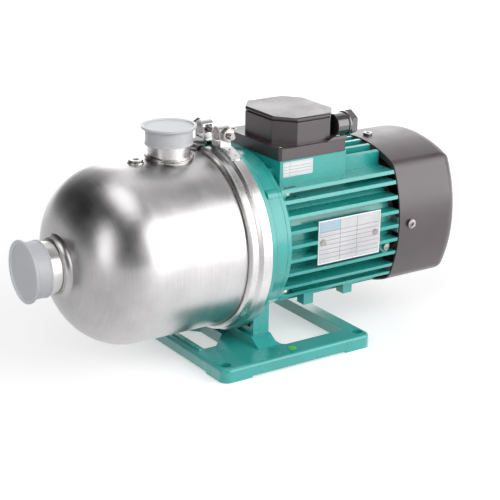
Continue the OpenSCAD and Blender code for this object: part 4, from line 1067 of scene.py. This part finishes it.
@dataclass
class GlandSleeve:
    """The smooth, glossy sleeve of the cable gland with its round collar."""

    across: float = -0.02
    height: float = 0.1703
    start: float = 0.0686
    end: float = 0.0816
    radius: float = 0.0088
    collar: float = 0.0011
    collar_depth: float = 0.0024
    sides: int = 64
    edge: float = 0.0004
    smooth_angle: float = 30.0

    def build(self, finish: bpy.types.Material) -> None:
        """Builds the sleeve around the gland.

        Args:
            finish: the plastic finish.
        """
        depth = self.end - self.start
        Bench.start()
        bpy.ops.mesh.primitive_cylinder_add(
            vertices=self.sides, radius=self.radius, depth=depth,
            location=((self.start + self.end) / 2, self.across, self.height),
            rotation=(0.0, math.pi / 2, 0.0))
        Bench.cut(lambda face: abs(face.normal.z) < LOOKING,
                  (self.end - self.collar_depth, 0.0, 0.0), (1.0, 0.0, 0.0))
        Bench.pick("faces", lambda face: abs(face.normal.z) < LOOKING
                   and face.calc_center_median().z > depth / 2 - self.collar_depth)
        bpy.ops.mesh.extrude_region_shrink_fatten(
            TRANSFORM_OT_shrink_fatten={"value": self.collar})
        Bench.pick("edges", lambda edge: len(edge.link_faces) == 2
                   and edge.calc_face_angle(0.0) > SHARP_ANGLE)
        bpy.ops.mesh.bevel(offset=self.edge, segments=3)
        sleeve = Bench.close("gland_sleeve", "frame", (finish,), "black_plastic",
                             self.smooth_angle)
        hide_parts("cable_gland")


@dataclass
class SocketThread:
    """The female thread in the mouth of a socket, seen once its cap is off."""

    name: str
    centre: Triple
    radius: float
    upright: bool
    depth: float = 0.0156
    half_pitch: float = 0.0023
    thread_depth: float = 0.0008
    sides: int = 64
    wall: float = 0.0003
    smooth_angle: float = 25.0

    def build(self, finish: bpy.types.Material) -> None:
        """Builds the ridged sleeve.

        Args:
            finish: the socket's steel.
        """
        cuts = 2 * round(self.depth / self.half_pitch) - 1
        turn = (0.0, 0.0, 0.0) if self.upright else (0.0, math.pi / 2, 0.0)
        Bench.rings(self.radius, self.depth, self.centre, turn, cuts, self.sides, "NOTHING")
        Bench.ridge(self.depth, cuts, -self.thread_depth)
        bpy.ops.object.mode_set(mode="OBJECT")
        wall = bpy.context.object.modifiers.new("wall", "SOLIDIFY")
        wall.thickness = self.wall
        wall.offset = 1.0
        bpy.ops.object.modifier_apply(modifier="wall")
        Bench.close(self.name, "frame", (finish,), "bright_steel", self.smooth_angle)


@dataclass
class TrayCorner:
    """The raised rim around the tray's corner under the gland, with its curved ramp."""

    ramp_start: float = 0.0490
    ramp_end: float = 0.0580
    end: float = 0.0695
    front: float = -0.0384
    back: float = -0.0310
    wall: float = 0.0017
    foot: float = 0.1626
    seat: float = 0.1629
    rise: float = 0.0031
    cuts: int = 12
    edge: float = 0.0003
    edge_height: float = 0.0004
    smooth_angle: float = 30.0

    def lift(self, vertex: bmesh.types.BMVert) -> None:
        """Puts a vertex of the rim's top at the ramp's height.

        Args:
            vertex: the vertex that moves.
        """
        if vertex.co.z > self.seat:
            share = (vertex.co.x - self.ramp_start) / (self.ramp_end - self.ramp_start)
            share = min(max(share, 0.0), 1.0)
            vertex.co.z = self.seat + self.rise * share * share * (3.0 - 2.0 * share)

    def is_high(self, edge: bmesh.types.BMEdge) -> bool:
        """Tells whether an edge is clear of the tray."""
        return min(vertex.co.z for vertex in edge.verts) > self.seat + self.edge_height

    def build(self, finish: bpy.types.Material) -> None:
        """Builds the front wall, extrudes the end wall from it and shapes the ramp.

        Args:
            finish: the box's plastic.
        """
        Bench.start()
        top = self.seat + self.rise
        bpy.ops.mesh.primitive_cube_add(
            size=1.0, location=((self.ramp_start + self.end) / 2, self.front + self.wall / 2,
                                (self.foot + top) / 2),
            scale=(self.end - self.ramp_start, self.wall, top - self.foot))
        bpy.ops.object.transform_apply()
        corner = self.end - self.wall
        places = [self.ramp_start + (self.ramp_end - self.ramp_start) * step / self.cuts
                  for step in range(1, self.cuts + 1)]
        for across in (*places, corner):
            Bench.cut(lambda face: True, (across, 0.0, 0.0), (1.0, 0.0, 0.0))
        Bench.pick("faces", lambda face: face.normal.y > LOOKING
                   and face.calc_center_median().x > corner)
        bpy.ops.mesh.extrude_region_move(TRANSFORM_OT_translate={
            "value": (0.0, self.back - self.front - self.wall, 0.0)})
        Bench.shape(self.lift)
        Bench.pick("edges", lambda edge: len(edge.link_faces) == 2
                   and edge.calc_face_angle(0.0) > SHARP_ANGLE and self.is_high(edge))
        bpy.ops.mesh.bevel(offset=self.edge, segments=2)
        Bench.close("tray_corner_rim", "frame", (finish,), "black_plastic", self.smooth_angle)


@dataclass
class InspectionDot:
    """The round green sticker on the base plate."""

    centre: Triple = (-0.0009, -0.069, 0.011)
    radius: float = 0.0034
    thickness: float = 0.00022
    sides: int = 40
    rim: float = 0.0003
    crown: float = 0.00006

    def build(self, finish: bpy.types.Material) -> None:
        """Builds the sticker with a soft edge.

        Args:
            finish: the sticker's finish.
        """
        Bench.start()
        middle = Vector(self.centre) + Vector((0.0, 0.0, self.thickness / 2))
        bpy.ops.mesh.primitive_cylinder_add(vertices=self.sides, radius=self.radius,
                                            depth=self.thickness, location=middle)
        Bench.pick("faces", lambda face: face.normal.z > LOOKING)
        bpy.ops.mesh.inset(thickness=self.rim, depth=self.crown)
        Bench.close("inspection_dot", "frame", (finish,))


def build_pieces(finishes: dict[str, bpy.types.Material]) -> None:
    """Builds every new piece in order.

    Args:
        finishes: the materials by name.
    """
    RuledSheet("rating_plate_face", low=(0.0284, 0.071), high=(0.0897, 0.107), face=-0.0598,
               rim=0.0010, line=0.00026, head=0.0085, rows=7, columns=(0.34, 0.62),
               corner=0.0015).build(
        (finishes["silver_plate"], finishes["plate_print"], finishes["print_grey"],
         finishes["plate_blue"]), "silver_plate")
    RuledSheet("blank_label", low=(0.0086, 0.140), high=(0.0371, 0.152), face=-0.038,
               rim=0.0007, line=0.00016, head=0.0032, rows=3, columns=(0.22,)).build(
        (finishes["label_paper"], finishes["label_paper"], finishes["print_grey"],
         finishes["label_paper"]))
    InspectionDot().build(finishes["lime_dot"])
    TrayCorner().build(finishes["black_plastic"])
    WeldBead("suction_weld", centre=(-0.1716, 0.0, SHAFT_Z), ring=0.0206, bead=0.0011,
             upright=False).build(finishes["weld_steel"])
    WeldBead("discharge_weld", centre=(-0.0708, 0.0, 0.1614), ring=0.0180, bead=0.0009,
             upright=True, saddle=0.0716, ripples=72).build(finishes["weld_steel"])
    ClampFittings().build(finishes["plated_screw"])
    GlandSleeve().build(finishes["gland_plastic"])
    SocketThread("suction_thread", centre=(-0.1850, 0.0, SHAFT_Z), radius=0.01512,
                 upright=False).build(finishes["bright_steel"])
    SocketThread("discharge_thread", centre=(-0.0708, 0.0, 0.1740), radius=0.01203,
                 upright=True).build(finishes["bright_steel"])


def clear_start() -> None:
    """Removes Blender's default objects, if any are left."""
    for name in ("Cube", "Light", "Camera"):
        item = bpy.data.objects.get(name)
        if item is not None:
            bpy.data.objects.remove(item)


def main() -> None:
    """Builds the scene in order."""
    logging.basicConfig(level=logging.INFO, format="%(name)s: %(message)s")
    clear_start()
    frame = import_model()
    bpy.ops.object.select_all(action="DESELECT")
    Studio().build()
    effects = Effects()
    materials = {finish.name: finish.build(effects) for finish in FINISHES}
    Carried().dress(frame, materials)
    build_pieces(materials)


if __name__ == "__main__":
    main()
